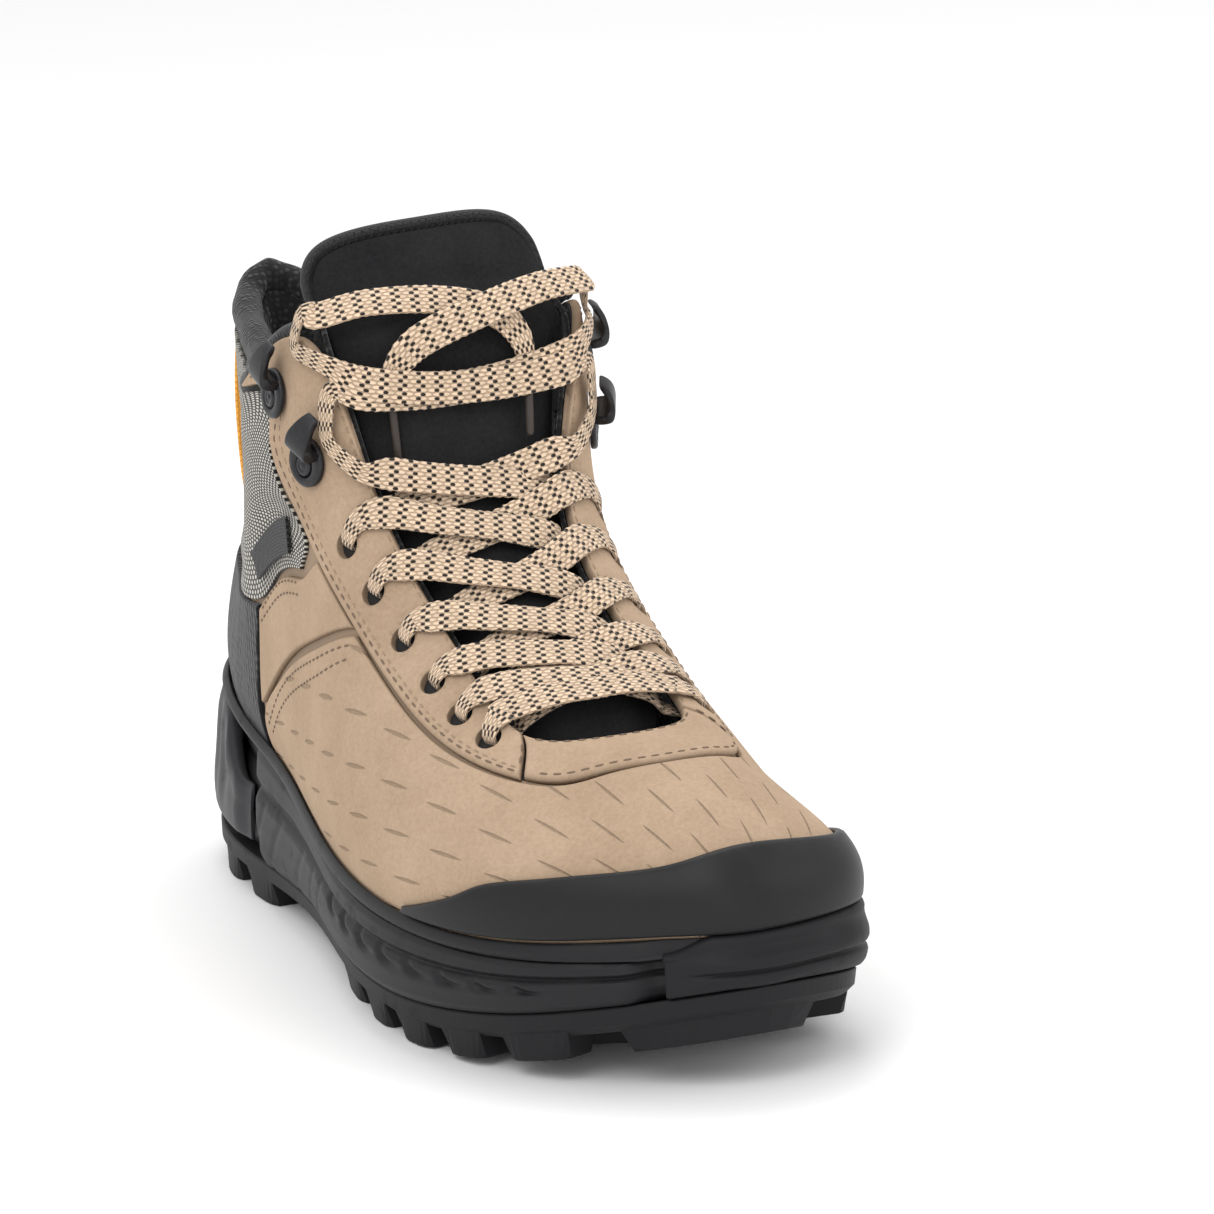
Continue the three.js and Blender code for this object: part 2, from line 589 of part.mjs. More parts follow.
// Straight cutter along the skin normal at an eyelet.
function eyeletCutter(w, s) {
  const g = new THREE.CylinderGeometry(EYELET_RADIUS, EYELET_RADIUS, 12, 8);
  g.deleteAttribute('normal');
  g.deleteAttribute('uv');
  const q = new THREE.Quaternion().setFromUnitVectors(new THREE.Vector3(0, 1, 0), instepNormal(w, s));
  g.applyQuaternion(q);
  const p = instepPoint(w, s);
  g.translate(p.x, p.y, p.z);
  return toManifold(g);
}
const eyeletW = (i) => EYELET_FIRST + EYELET_STEP * i;
function punched(geometry, sign) {
  let body = toManifold(geometry);
  for (let i = 0; i < EYELETS; i++) body = body.subtract(eyeletCutter(eyeletW(i), sign * EYELET_S));
  return fromManifold(body);
}
const backingSides = [
  [[2.4, 0.72], [3.6, 0.715], [5.2, 0.72], [6.4, 0.725], [7.1, 0.74]],
  [[2.4, 0.955], [3.6, 0.955], [5.2, 0.955], [6.4, 0.965], [7.1, 0.97]],
  [[2.4, 0.72], [2.4, 0.955]],
  [[7.1, 0.74], [7.1, 0.97]],
];
sides.forEach(([side, flip], k) => {
  const sign = k ? 1 : -1;
  add(`quarter_${side}`, panel(patch(...quarterSides.map(flip)), SUEDE, 8, 3), TAN, 0.95);
  add(`side_weave_${side}`, panel(patch(...weaveSides.map(flip)), [0.2, 1.3], 14, 5), 0x3b3b38, 0.95);
  add(`facing_${side}`, punched(panel(patch(...facingSides.map(flip)), FACING, 20, 3), sign), TAN, 0.95);
  add(`facing_backing_${side}`, punched(panel(patch(...backingSides.map(flip)), BACKING, 16, 2), sign),
    0x2a2a2c, 0.9);
});
add('throat_tab', panel(span(-2.3, 2.3, () => 0.66, () => 1), FACING, 10, 2), TAN, 0.95);
add('heel_panel', panel(span(7.46, 14.54, () => 0.005, () => 0.42), SUEDE, 24, 3), BLACK, 0.9);
add('backstay', panel(span(10.45, 11.55, () => 0.43, () => 0.965), SUEDE, 4, 6), BLACK, 0.95);
const capTop = curve([[3.6, 0.1], [2.9, 0.205], [2.45, 0.275], [1.8, 0.3], [0.9, 0.3], [0, 0.32],
  [-0.9, 0.31], [-1.8, 0.3], [-2.5, 0.26], [-3.1, 0.19], [-3.8, 0.1]]);
const capMap = (x, y) => {
  const [u, high] = capTop(x);
  return [u, lerp(0.088, Math.max(high, 0.094), y)];
};
add('toe_cap', panel(capMap, CAP, 26, 3), RUBBER, 0.7);

// ---------- padded collar ----------
const collarSpan = span(7.7, 14.3, () => 0.73, () => 0.975);
const swell = (u, v, x, y) => 3.3 * Math.sin(Math.PI * y) ** 0.6 * smooth(0, 0.12, x)
  * (1 - smooth(0.88, 1, x)) * (1 - 0.95 * Math.exp(-(((u - 11) / 0.9) ** 2)));
add('collar_foam', panel(collarSpan, [(u, v, x, y) => -2.7 - swell(u, v, x, y), -1.2], 24, 4), 0x57585c, 1);
add('collar_lining', panel(collarSpan,
  [(u, v, x, y) => -5.3 - swell(u, v, x, y), (u, v, x, y) => -4.2 - swell(u, v, x, y)], 24, 4), BLACK, 1);
const rollAt = (t) => {
  const u = lerp(7.08, 14.92, t);
  const p = skin(u, 1, 0);
  const up = p.clone().sub(skin(u, 0.95, 0)).normalize();
  const out = skinNormal(u, 0.98).multiplyScalar(SIDE);
  const fat = smooth(0, 0.1, t) * (1 - smooth(0.9, 1, t));
  const centre = p.addScaledVector(up, lerp(2.2, 3.2, fat));
  centre.addScaledVector(out, lerp(0.6, -2.6, fat));
  const ring = [];
  for (let k = 0; k < 8; k++) {
    const a = (2 * Math.PI * k) / 8;
    ring.push(centre.clone().addScaledVector(up, Math.cos(a) * lerp(1.5, 2.8, fat))
      .addScaledVector(out, Math.sin(a) * lerp(1.5, 3.6, fat)));
  }
  return ring;
};
add('collar_roll', loft(rollAt, 36), BLACK, 1);

// ---------- tongue ----------
const tongueTop = (s, w) => {
  const a = Math.abs(s);
  return -0.8 - 3.6 * smooth(0.4, 0.94, a) * (1 - smooth(6.5, 7.0, w)) - 7 * smooth(3.2, 2.2, w);
};
const tongueMap = patch(
  [[0.5, -0.7], [0.35, 0], [0.5, 0.75]],
  [[7.24, -0.93], [7.36, -0.7], [7.4, 0], [7.42, 0.6], [7.3, 0.83]],
  [[0.5, -0.7], [1.5, -0.74], [2.4, -0.84], [3, -1.04], [3.6, -1.2], [5, -1.2], [6, -1.14],
    [6.6, -1.06], [7, -1.02], [7.24, -0.93]],
  [[0.5, 0.75], [1.5, 0.78], [2.4, 0.86], [3, 1.04], [3.6, 1.2], [5, 1.2], [6, 1.14],
    [6.6, 1.02], [7.06, 0.94], [7.3, 0.83]]);
const tongueAt = (drop) => (x, y) => {
  const [w, s] = tongueMap(x, y);
  return instep(w, s, tongueTop(s, w) - drop);
};
const tongueLayer = (d0, d1, n) => sheetSolid(tongueAt(d1), tongueAt(d0), 8, n);
add('tongue_face', tongueLayer(0, 1.1, 16), 0x19191b, 0.95);
add('tongue_foam', tongueLayer(1.4, 5.4, 16), 0x4a4b4e, 1);
add('tongue_lining', tongueLayer(5.8, 6.7, 16), BLACK, 1);
const tongueEdge = (t) => {
  const leg = 0.3;
  let w;
  let s;
  if (t < leg) [w, s] = tongueMap(0, lerp(0.74, 1, t / leg));
  else if (t < 1 - leg) [w, s] = tongueMap((t - leg) / (1 - 2 * leg), 1);
  else [w, s] = tongueMap(1, lerp(1, 0.74, (t - 1 + leg) / leg));
  return [w, s];
};
const bindingRing = (t) => {
  const [w, s] = tongueEdge(t);
  const [w0, s0] = tongueEdge(clamp(t - 0.004, 0, 1));
  const [w1, s1] = tongueEdge(clamp(t + 0.004, 0, 1));
  const mid = instep(w, s, tongueTop(s, w) - 3.4);
  const along = instep(w1, s1, tongueTop(s1, w1)).sub(instep(w0, s0, tongueTop(s0, w0))).normalize();
  const up = instepNormal(w, s);
  const out = along.clone().cross(up).normalize().multiplyScalar(-1);
  mid.addScaledVector(out, 3.6);
  return [[-0.8, 3.3], [0.9, 2.6], [0.9, -2.8], [-0.8, -3.4]].map(
    ([a, b]) => mid.clone().addScaledVector(out, a).addScaledVector(up, b));
};
add('tongue_binding', loft(bindingRing, 36), 0x101012, 1);
sides.forEach(([side, flip], k) => {
  const map = patch(...[
    [[2.7, 0.725], [4.5, 0.725], [6.2, 0.73]],
    [[2.7, 0.88], [4.5, 0.88], [6.2, 0.89]],
    [[2.7, 0.725], [2.7, 0.88]],
    [[6.2, 0.73], [6.2, 0.89]],
  ].map(flip));
  add(`gusset_${side}`, panel(map, [-5.2, -4.6], 12, 2), 0x26272a, 1);
});

// ---------- lace hooks ----------
function hookGeometry() {
  const { Manifold } = wasm;
  const plan = (points, depth) => {
    const shape = new THREE.Shape(points.map(([x, y]) => new THREE.Vector2(x, y)));
    const g = new THREE.ExtrudeGeometry(shape, { depth, bevelEnabled: false });
    g.deleteAttribute('normal');
    g.deleteAttribute('uv');
    return g;
  };
  const plate = Manifold.cylinder(1.7, 6.4, 6.1, 20).translate([-3.6, 0, 0])
    .subtract(Manifold.cube([10, 20, 6], true).translate([8.2, 0, 0]))
    .subtract(Manifold.cylinder(2, 3.1, 3.1, 12).translate([-4.6, 0, 0.7]));
  const side = plan([[-0.9, 1.2], [1.7, 1.2], [1.9, 5.0], [7, 4.9], [9.6, 3.2], [10.4, 3.0],
    [10.8, 3.8], [8.2, 6.2], [3.6, 7], [0.4, 6.6], [-0.9, 5.2]], 12);
  side.translate(0, 0, -6);
  side.rotateX(Math.PI / 2);
  const outline = plan([[-1, -4.4], [4, -4], [11, -1.8], [11, 1.8], [4, 4], [-1, 4.4]], 9);
  const strap = toManifold(side).intersect(toManifold(outline));
  return fromManifold(plate.add(strap));
}
function rivetGeometry() {
  const pts = [[0, 0.95], [2.7, 0.95], [2.7, 1.5], [1.9, 2.0], [0, 2.15]];
  const g = new THREE.LatheGeometry(pts.map(([x, y]) => new THREE.Vector2(x, y)), 12);
  g.rotateX(Math.PI / 2);
  g.translate(-4.6, 0, 0);
  g.deleteAttribute('normal');
  g.deleteAttribute('uv');
  return fromManifold(toManifold(g));
}
function hookFrame(w, s) {
  const z = instepNormal(w, s);
  const inward = instepPoint(w, s * 0.9).sub(instepPoint(w, s)).normalize();
  const x = inward.addScaledVector(z, -inward.dot(z)).normalize();
  const y = z.clone().cross(x);
  const p = instep(w, s, FACING[1] + GAP);
  return new THREE.Matrix4().makeBasis(x, y, z).setPosition(p);
}
const hookShape = hookGeometry();
const rivetShape = rivetGeometry();
sides.forEach(([side], k) => {
  HOOKS.forEach((w, i) => {
    const frame = hookFrame(w, (k ? 1 : -1) * HOOK_S[i]);
    const level = i ? 'upper' : 'lower';
    add(`hook_${side}_${level}`, hookShape.clone().applyMatrix4(frame), 0x2b2c2f, 0.45, 0.7);
    add(`rivet_${side}_${level}`, rivetShape.clone().applyMatrix4(frame), 0x3a3b3e, 0.4, 0.8);
  });
});

// ---------- lace ----------
// Control stops: station, across, height, tilt of the flat, width, thickness and facing sign.
const path = [];
const sag = (w) => 0.16 + 0.14 * smooth(2.9, 4.2, w) + 0.3 * smooth(5.5, 7.1, w);
function stop(w, s, h, tilt = 0, width = LACE_WIDTH, normal = null) {
  const reach = lerp(1.2, 1.45, smooth(5.7, 6.1, w));
  const level = w - sag(w) * Math.max(0, 1 - (s / reach) ** 2);
  path.push({ w: level, s, h, tilt, width, normal });
}
function dive(i, side) {
  const w = eyeletW(i);
  const s = side * EYELET_S;
  stop(w - 0.03, side * 1.02, 3.8, 0, LACE_WIDTH);
  stop(w, side * 1.3, 3.5, 0, 6.0);
  stop(w, s - side * 0.03, 2.9, 0, 4.2, 'turn');
  stop(w, s, 0.5, 0, 3.8, 'out');
  stop(w, s - side * 0.03, -1.9, 0, 4.2, 'turnback');
  stop(w, side * 1.3, -2.75, 0, 6.2);
  stop(w, side * 1.08, -2.8, 0, LACE_WIDTH);
  stop(w + 0.03, side * 0.94, -2.6, 0, LACE_WIDTH);
}
// Height and tilt of a strand that starts on the given side, at across position s. Strands from
// the medial side lie over at the crossings; on the medial half both kinds are shingled.
function strandHeight(side, s) {
  const table = side > 0
    ? [[-0.75, 3.5], [-0.5, 3.3], [-0.25, 3.4], [0, 3.5], [0.25, 3.2], [0.5, 2.4], [0.75, 0.7]]
    : [[-0.75, -0.6], [-0.5, 0.7], [-0.25, 1.2], [0, 1.5], [0.25, 2.0], [0.5, 2.6], [0.75, 3.8]];
  const i = clamp(Math.floor((s + 0.75) / 0.25), 0, table.length - 2);
  return lerp(table[i][1], table[i + 1][1], clamp((s - table[i][0]) / 0.25, 0, 1));
}
const shingle = (s) => 17 * smooth(0, 0.45, s) * (1 - smooth(0.55, 0.95, s));
// One strand from the level w0 on one side up to the level w1 on the other side.
function strand(w0, w1, side, lowStart, lowEnd) {
  for (const x of [-0.75, -0.5, -0.25, 0, 0.25, 0.5, 0.75]) {
    const s = -x * side;
    const w = lerp(w0, w1, (x + 1) / 2);
    let h = strandHeight(side, s);
    const ramp = lerp(side > 0 ? 3.4 : 1.3, 5.2, smooth(0, 1, Math.abs(x)));
    if (x < 0 && !lowStart) h = Math.max(h, ramp);
    if (x > 0 && !lowEnd) h = Math.max(h, ramp);
    stop(w, s, h, lowStart && lowEnd ? shingle(s) : 0);
  }
}
// Half turn round the neck of a hook, under its tip.
function hookTurn(i, side) {
  const w = HOOKS[i];
  const s = side * HOOK_S[i];
  const ds = 0.21 * side;
  const dw = i ? 0.16 : 0.36;
  stop(w - dw, s - ds * 2, 5.4, 0, 5.2);
  stop(w - dw * 0.4, s - ds * 1.2, 5.3, 0, 4.2);
  stop(w, s - ds * 0.96, 5.25, 0, 3.7);
  stop(w + dw * 0.4, s - ds * 1.2, i ? 6.3 : 5.3, 0, 4.2);
  stop(w + dw, s - ds * 2, i ? 8.4 : 5.4, 0, 5.2);
}
// The free end crosses the other one, then tucks under the strands between the hooks.
function tail(side) {
  const w = HOOKS[1];
  const over = side > 0;
  const run = over
    ? [[0.14, 0.85, 8.6], [0.2, 0.5, 7.2], [0.16, 0.1, 7.6], [0.04, -0.25, 6.6], [-0.12, -0.42, 4.0],
      [-0.3, -0.5, 1.5], [-0.42, -0.52, 1.0]]
    : [[0.16, -0.85, 6.0], [0.26, -0.5, 5.2], [0.26, -0.1, 4.8], [0.16, 0.2, 4.2], [0, 0.36, 3.0],
      [-0.2, 0.44, 2.2], [-0.34, 0.46, 2.3]];
  run.forEach(([dw, s, h], k) => stop(w + dw, s, h, 0, k < 4 ? LACE_WIDTH : lerp(7, 2.4, (k - 4) / 2)));
}
function halfLace(start) {
  let side = start;
  dive(0, side);
  for (let i = 0; i < EYELETS - 1; i++) {
    strand(eyeletW(i), eyeletW(i + 1), side, true, true);
    side = -side;
    dive(i + 1, side);
  }
  strand(eyeletW(EYELETS - 1), HOOKS[0] - 0.35, side, true, false);
  side = -side;
  hookTurn(0, side);
  strand(HOOKS[0] + 0.35, HOOKS[1] - 0.25, side, false, false);
  side = -side;
  hookTurn(1, side);
  tail(side);
}

// Position, flat normal, width of every stop along one half, from the middle of the bottom bar.
function traceHalf(start) {
  path.length = 0;
  for (const [x, h] of [[0, 3.6], [0.35, 4.0], [0.7, 3.9], [1, 3.5]]) {
    stop(EYELET_FIRST, start * x, h);
  }
  const marks = [];
  halfLace(start);
  let sign = 1;
  path.forEach((q) => {
    const up = instepNormal(q.w, q.s);
    const e = 0.05;
    const out = instepPoint(q.w, q.s + e).sub(instepPoint(q.w, q.s - e)).normalize()
      .multiplyScalar(Math.sign(q.s) || 1);
    let n = up.clone().multiplyScalar(sign);
    if (q.normal === 'turn') n = up.clone().add(out).normalize().multiplyScalar(sign);
    if (q.normal === 'out') n = out.clone().multiplyScalar(sign);
    if (q.normal === 'turnback') {
      n = out.clone().sub(up).normalize().multiplyScalar(sign);
      sign = -sign;
    }
    if (q.tilt) {
      const climb = instepPoint(q.w + 0.05, q.s).sub(instepPoint(q.w - 0.05, q.s)).normalize();
      n.addScaledVector(climb, -sign * Math.tan(THREE.MathUtils.degToRad(q.tilt))).normalize();
    }
    marks.push({ p: instep(q.w, q.s, q.h), n, width: q.width });
  });
  return marks;
}
function spline(list, get) {
  const c = list.map(get);
  return (t) => {
    const x = clamp(t, 0, 1) * (c.length - 1);
    const i = Math.min(Math.floor(x), c.length - 2);
    const k = (j) => c[clamp(i + j, 0, c.length - 1)];
    const f = x - i;
    return c[i].map((_, d) => 0.5 * (2 * k(0)[d] + (k(1)[d] - k(-1)[d]) * f
      + (2 * k(-1)[d] - 5 * k(0)[d] + 4 * k(1)[d] - k(2)[d]) * f * f
      + (3 * k(0)[d] - k(-1)[d] - 3 * k(1)[d] + k(2)[d]) * f ** 3));
  };
}
const medialHalf = traceHalf(1);
const lateralHalf = traceHalf(-1);
const stops = [...lateralHalf.slice(1).reverse(), ...medialHalf];
const laceLine = spline(stops, (q) => q.p.toArray());
const laceNormal = spline(stops, (q) => q.n.toArray());
const laceWidth = spline(stops, (q) => [q.width]);
const LACE_STEPS = Math.round((stops.length - 1) * 1.35);
function laceRing(t) {
  const p = vec(laceLine(t));
  const d = vec(laceLine(t + 0.0004)).sub(vec(laceLine(t - 0.0004))).normalize();
  const n = vec(laceNormal(t));
  n.addScaledVector(d, -n.dot(d)).normalize();
  const b = d.clone().cross(n);
  const w = laceWidth(t)[0] / 2;
  const h = LACE_THICK / 2;
  return [[-w, h], [w, h], [w, -h], [-w, -h]].map(
    ([x, y]) => p.clone().addScaledVector(b, x).addScaledVector(n, y));
}
add('lace', loft(laceRing, LACE_STEPS), 0xcdb79b, 0.9);
[[1, 'medial'], [-1, 'lateral']].forEach(([side, name]) => {
  const at = (t) => vec(laceLine(side > 0 ? t : 1 - t));
  const end = at(1);
  const dir = end.clone().sub(at(0.9995)).normalize();
  const up = new THREE.Vector3(0, 0, 1);
  const b = dir.clone().cross(up).normalize();
  const c = dir.clone().cross(b);
  const tip = loft((t) => {
    const r = 1.0 * (t > 0.92 ? 0.75 : 1);
    const ring = [];
    for (let k = 0; k < 8; k++) {
      const a = (2 * Math.PI * k) / 8;
      ring.push(end.clone().addScaledVector(dir, 3.1 + 11.2 * t)
        .addScaledVector(b, Math.cos(a) * r).addScaledVector(c, Math.sin(a) * r));
    }
    return ring;
  }, 8);
  add(`aglet_${name}`, tip, 0x2a2724, 0.4);
});

// ---------- heel pull loop and side label ----------
const loopSpine = new THREE.CatmullRomCurve3([
  [-2.2, 134.6, 151], [-2.2, 136.2, 146], [-2.4, 140.2, 136], [-2.4, 143.0, 124], [-2.2, 143.9, 112],
  [-2, 143.2, 101], [-1.6, 140.6, 92], [-1.4, 138.0, 86],
].map(vec));
add('pull_loop', loft((t) => {
  const p = loopSpine.getPoint(t);
  const d = loopSpine.getTangent(t);
  const x = new THREE.Vector3(1, 0, 0);
  const n = x.clone().cross(d).normalize();
  return [[-7, -0.5], [-6.2, -1.1], [6.2, -1.1], [7, -0.5], [7, 0.5], [6.2, 1.1], [-6.2, 1.1], [-7, 0.5]]
    .map(([a, b]) => p.clone().addScaledVector(x, a).addScaledVector(n, b));
}, 20), 0xe39a3c, 0.7);
const labelMap = patch([[6.5, 0.575], [7.3, 0.475]], [[6.62, 0.625], [7.5, 0.525]],
  [[6.5, 0.575], [6.62, 0.625]], [[7.3, 0.475], [7.5, 0.525]]);
add('side_label', panel(labelMap, [2.0, 2.7], 8, 2), 0x141416, 0.9);

// ---------- origin: bottom centre of the whole boot ----------
const box = new THREE.Box3();
boot.children.forEach((m) => {
  m.geometry.computeBoundingBox();
  box.union(m.geometry.boundingBox);
});
const centre = box.getCenter(new THREE.Vector3());
boot.children.forEach((m) => {
  m.geometry.translate(-centre.x, -centre.y, -box.min.z);
  m.geometry.computeVertexNormals();
});

export default boot;
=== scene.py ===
# %% [markdown]
# # Mid-height hiking boot, right foot
# One smooth surface describes the whole upper and one outline describes the sole. Every panel,
# seam, padded edge and lace below is worked out from those two, in millimetres, and placed in the
# row frame in metres. The CAD frame is loaded first and is never moved.

# %%
import math

import bmesh
import bpy
import numpy as np
from mathutils import Matrix, Vector


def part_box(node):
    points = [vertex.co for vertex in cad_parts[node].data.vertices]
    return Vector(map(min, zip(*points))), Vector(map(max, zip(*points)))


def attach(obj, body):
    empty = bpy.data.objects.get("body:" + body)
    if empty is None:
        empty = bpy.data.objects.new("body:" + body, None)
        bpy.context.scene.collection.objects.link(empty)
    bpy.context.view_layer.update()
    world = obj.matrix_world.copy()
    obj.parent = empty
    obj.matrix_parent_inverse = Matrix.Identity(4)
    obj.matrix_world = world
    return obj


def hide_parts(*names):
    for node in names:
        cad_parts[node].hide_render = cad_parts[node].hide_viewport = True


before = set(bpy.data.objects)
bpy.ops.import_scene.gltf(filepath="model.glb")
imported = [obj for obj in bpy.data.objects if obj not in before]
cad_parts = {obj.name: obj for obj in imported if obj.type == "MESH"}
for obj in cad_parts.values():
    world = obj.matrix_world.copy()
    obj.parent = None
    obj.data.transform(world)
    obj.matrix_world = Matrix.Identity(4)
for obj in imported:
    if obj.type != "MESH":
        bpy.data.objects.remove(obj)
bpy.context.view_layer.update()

# %% [markdown]
# ## Where the drawing sits
# The shank is drawn 1.5 mm off the centre line and from y -25 to 75 mm, so its box in the row frame
# gives the shift between the drawing and the row frame.

# %%
shank_low, shank_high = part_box("shank")
ORIGIN = np.array([
    1.5 - 500 * (shank_low[0] + shank_high[0]),
    25.0 - 500 * (shank_low[1] + shank_high[1]),
    0.0,
])
SHELL, TONGUE, FOOTBED = "boot_shell", "tongue", "footbed"
print("drawing origin", ORIGIN.round(2))


def place(points):
    """Drawing millimetres to row-frame metres."""
    return (np.asarray(points, float) - ORIGIN) / 1000


# %% [markdown]
# ## The shape of the boot
# The sole outline and the upper's stations, toe to heel, each with its lateral and medial values.
# Station numbers u run round the ring from the toe (0) along the lateral side to the heel (11) and
# back along the medial side; v runs from the feather line (0) to the top edge (1).

# %%
LUG_DEPTH, PLATE_TOP, GAP = 6, 12.6, 0.3
RING = 22
SOLE = [
    [17, 17, -152], [-5, 42.5, -142.5], [-27, 54.5, -121.5], [-41, 59, -94], [-48, 58, -62],
    [-47, 51, -28], [-41, 44, 8], [-37, 41, 44], [-37, 40, 80], [-34, 37, 112], [-22, 25, 140],
    [1, 1, 151],
]
UPPER = [
    [[16, 16, -145, 36], [16, 16, -147, 49.5], [15, 15, -134, 63], [12, 12, -114, 71],
     [8, 8, -102, 74], [6, 6, -95, 76]],
    [[-2, 40, -137, 35], [-3, 41, -138, 48], [-3, 36, -127, 59.5], [-3, 26.5, -111, 69.5],
     [-5, 21, -100, 74], [-6, 17, -94, 76]],
    [[-23, 50, -118, 33], [-25, 51.5, -118, 45], [-22, 43.5, -113, 57], [-17, 34.5, -103, 67],
     [-14, 29, -94, 74], [-14, 24, -89, 77]],
    [[-37, 53.5, -93, 32], [-40, 54, -92, 44], [-37, 46, -88, 57], [-30, 37, -82, 70],
     [-22, 31, -78, 78], [-18, 25, -76, 82]],
    [[-43, 52, -62, 33], [-47, 54, -61, 46], [-44, 48, -59, 62], [-36, 38, -56, 78],
     [-26, 30, -56, 88], [-20, 22, -56, 93]],
    [[-43, 46, -29, 35], [-46, 48, -28, 50], [-44, 43, -28, 70], [-38, 36, -29, 91],
     [-30, 29, -30, 106], [-24, 20, -31, 113]],
    [[-38, 40, 7, 39], [-41, 42, 7, 54], [-40, 39, 3, 78], [-38, 36, -3, 105],
     [-34, 32, -10, 128], [-28, 26, -14, 139]],
    [[-33, 38, 42, 44], [-36, 40, 42, 58], [-36, 38, 37, 84], [-37, 37, 27, 116],
     [-38, 39, 12, 148], [-35, 36, 3, 166]],
    [[-31, 37, 75, 48], [-33, 38, 75, 60], [-33, 36, 71, 82], [-34, 36, 62, 108],
     [-36, 38, 51, 132], [-36.5, 37, 47, 146]],
    [[-26, 33, 104, 51], [-27, 33, 104, 62], [-25, 30, 99, 82], [-22, 26, 90, 106],
     [-26, 30, 82, 128], [-25, 29, 79, 144]],
    [[-16, 19, 129, 53], [-17, 20, 130, 64], [-16, 16, 124, 84], [-14, 12, 117, 108],
     [-15, 14, 116, 132], [-15, 14, 118, 150]],
    [[0, 0, 140, 54], [0, 0, 141, 66], [-1, -1, 134, 88], [-2, -2, 129, 112],
     [-2, -2, 128, 136], [-2, -2, 131, 156]],
]


def mix(a, b, t):
    return a + (b - a) * t


def smooth(a, b, x):
    t = np.clip((np.asarray(x, float) - a) / (b - a), 0, 1)
    return t * t * (3 - 2 * t)


def unit(v):
    return v / np.maximum(np.linalg.norm(v, axis=-1, keepdims=True), 1e-12)


def basis(t):
    return np.stack([(1 - t) ** 3 / 6, (3 * t**3 - 6 * t * t + 4) / 6,
                     (-3 * t**3 + 3 * t * t + 3 * t + 1) / 6, t**3 / 6], -1)


def solve_ring(points):
    """Control points, round axis 0, of the closed spline through the points."""
    c = points.copy()
    for _ in range(60):
        for i in range(len(c)):
            c[i] = (6 * points[i] - c[i - 1] - c[(i + 1) % len(c)]) / 4
    return c


def solve_open(points):
    """The same along axis 0 of an open spline, with one phantom row at each end."""
    c = points.copy()
    for _ in range(60):
        for i in range(1, len(c) - 1):
            c[i] = (6 * points[i] - c[i - 1] - c[i + 1]) / 4
    return np.concatenate([[2 * c[0] - c[1]], c, [2 * c[-1] - c[-2]]])


def both_sides(rows, pick):
    lateral = [pick(r, 0) for r in rows]
    medial = [pick(r, 1) for r in rows]
    return np.array(lateral + medial[-2:0:-1], float)


SOLE_RING = solve_ring(both_sides(SOLE, lambda r, side: [r[side], r[2]]))
NET = solve_open(np.array([
    solve_ring(both_sides(UPPER, lambda s, side, j=j: [s[j][side], s[j][2], s[j][3]]))
    for j in range(6)]))


def ring_at(c, u):
    i = np.floor(u).astype(int)
    b = basis(u - i)
    return sum(b[..., a, None] * c[(i - 1 + a) % RING] for a in range(4))


def skin_point(u, v):
    u, v = np.broadcast_arrays(np.asarray(u, float), np.asarray(v, float))
    s = np.clip(v, 0, 1) * 5
    j = np.minimum(np.floor(s).astype(int), 4)
    i = np.floor(u).astype(int)
    bu, bv = basis(u - i), basis(s - j)
    out = np.zeros(u.shape + (3,))
    for a in range(4):
        for b in range(4):
            out += (bu[..., a] * bv[..., b])[..., None] * NET[j + b, (i - 1 + a) % RING]
    return out


def skin_normal(u, v):
    e = 0.02
    v = np.clip(v, e, 1 - e)
    du = skin_point(np.asarray(u) + e, v) - skin_point(np.asarray(u) - e, v)
    dv = skin_point(u, v + e) - skin_point(u, v - e)
    return unit(np.cross(dv, du))


SIDE = 1 if skin_normal(4.0, 0.3)[0] < 0 else -1


def skin(u, v, off=0.0):
    return skin_point(u, v) + SIDE * skin_normal(u, v) * np.asarray(off, float)[..., None]


def spring(y, z=0.0):
    """Rise of the tread towards the toe."""
    return 15 * np.clip((-y - 58) / 92, 0, 1) ** 2 * (1 - z / 240)


def sole(u, z, off=0.0):
    """The sole outline at station u, moved out by off; the heel tapers in with height."""
    u, z, off = np.broadcast_arrays(*(np.asarray(x, float) for x in (u, z, off)))
    p = ring_at(SOLE_RING, u)
    t = unit(ring_at(SOLE_RING, u + 0.02) - ring_at(SOLE_RING, u - 0.02))
    d = off - 7 * smooth(40, 110, p[..., 1]) * np.clip((z - 8) / 46, -0.2, 1.2)
    x = p[..., 0] - t[..., 1] * d
    y = p[..., 1] + t[..., 0] * d
    return np.stack([x, y, z + spring(y, z)], -1)


def wall_top(u):
    return skin_point(u, 0.0)[..., 2] - 1.2


def wall(u, f, off=0.0):
    """The midsole side: f runs from the outsole (0) to the feather line (1)."""
    u, f, off = np.broadcast_arrays(*(np.asarray(x, float) for x in (u, f, off)))
    z0 = PLATE_TOP + GAP
    top = wall_top(u) - spring(sole(u, z0)[..., 1], z0)
    q = sole(u, mix(z0, top, f), off)
    q[..., 2] = mix(z0 + spring(q[..., 1], z0), wall_top(u), f)
    return q


print("upper net", NET.shape, "ball width", round(float(np.ptp(sole([4.0, 18.0], 12.0)[:, 0])), 1))

# %% [markdown]
# The instep carries the upper's surface across the throat, where the tongue, laces and hooks lie.
# w is the station, s runs from the lateral edge (-1) to the medial edge (+1), h is the height.

# %%
ARCH_FLAT, W_LOW, W_TOP = 0.5, 2.4, 6.5
RISE = np.array([0.0, 24.0, 28.0])


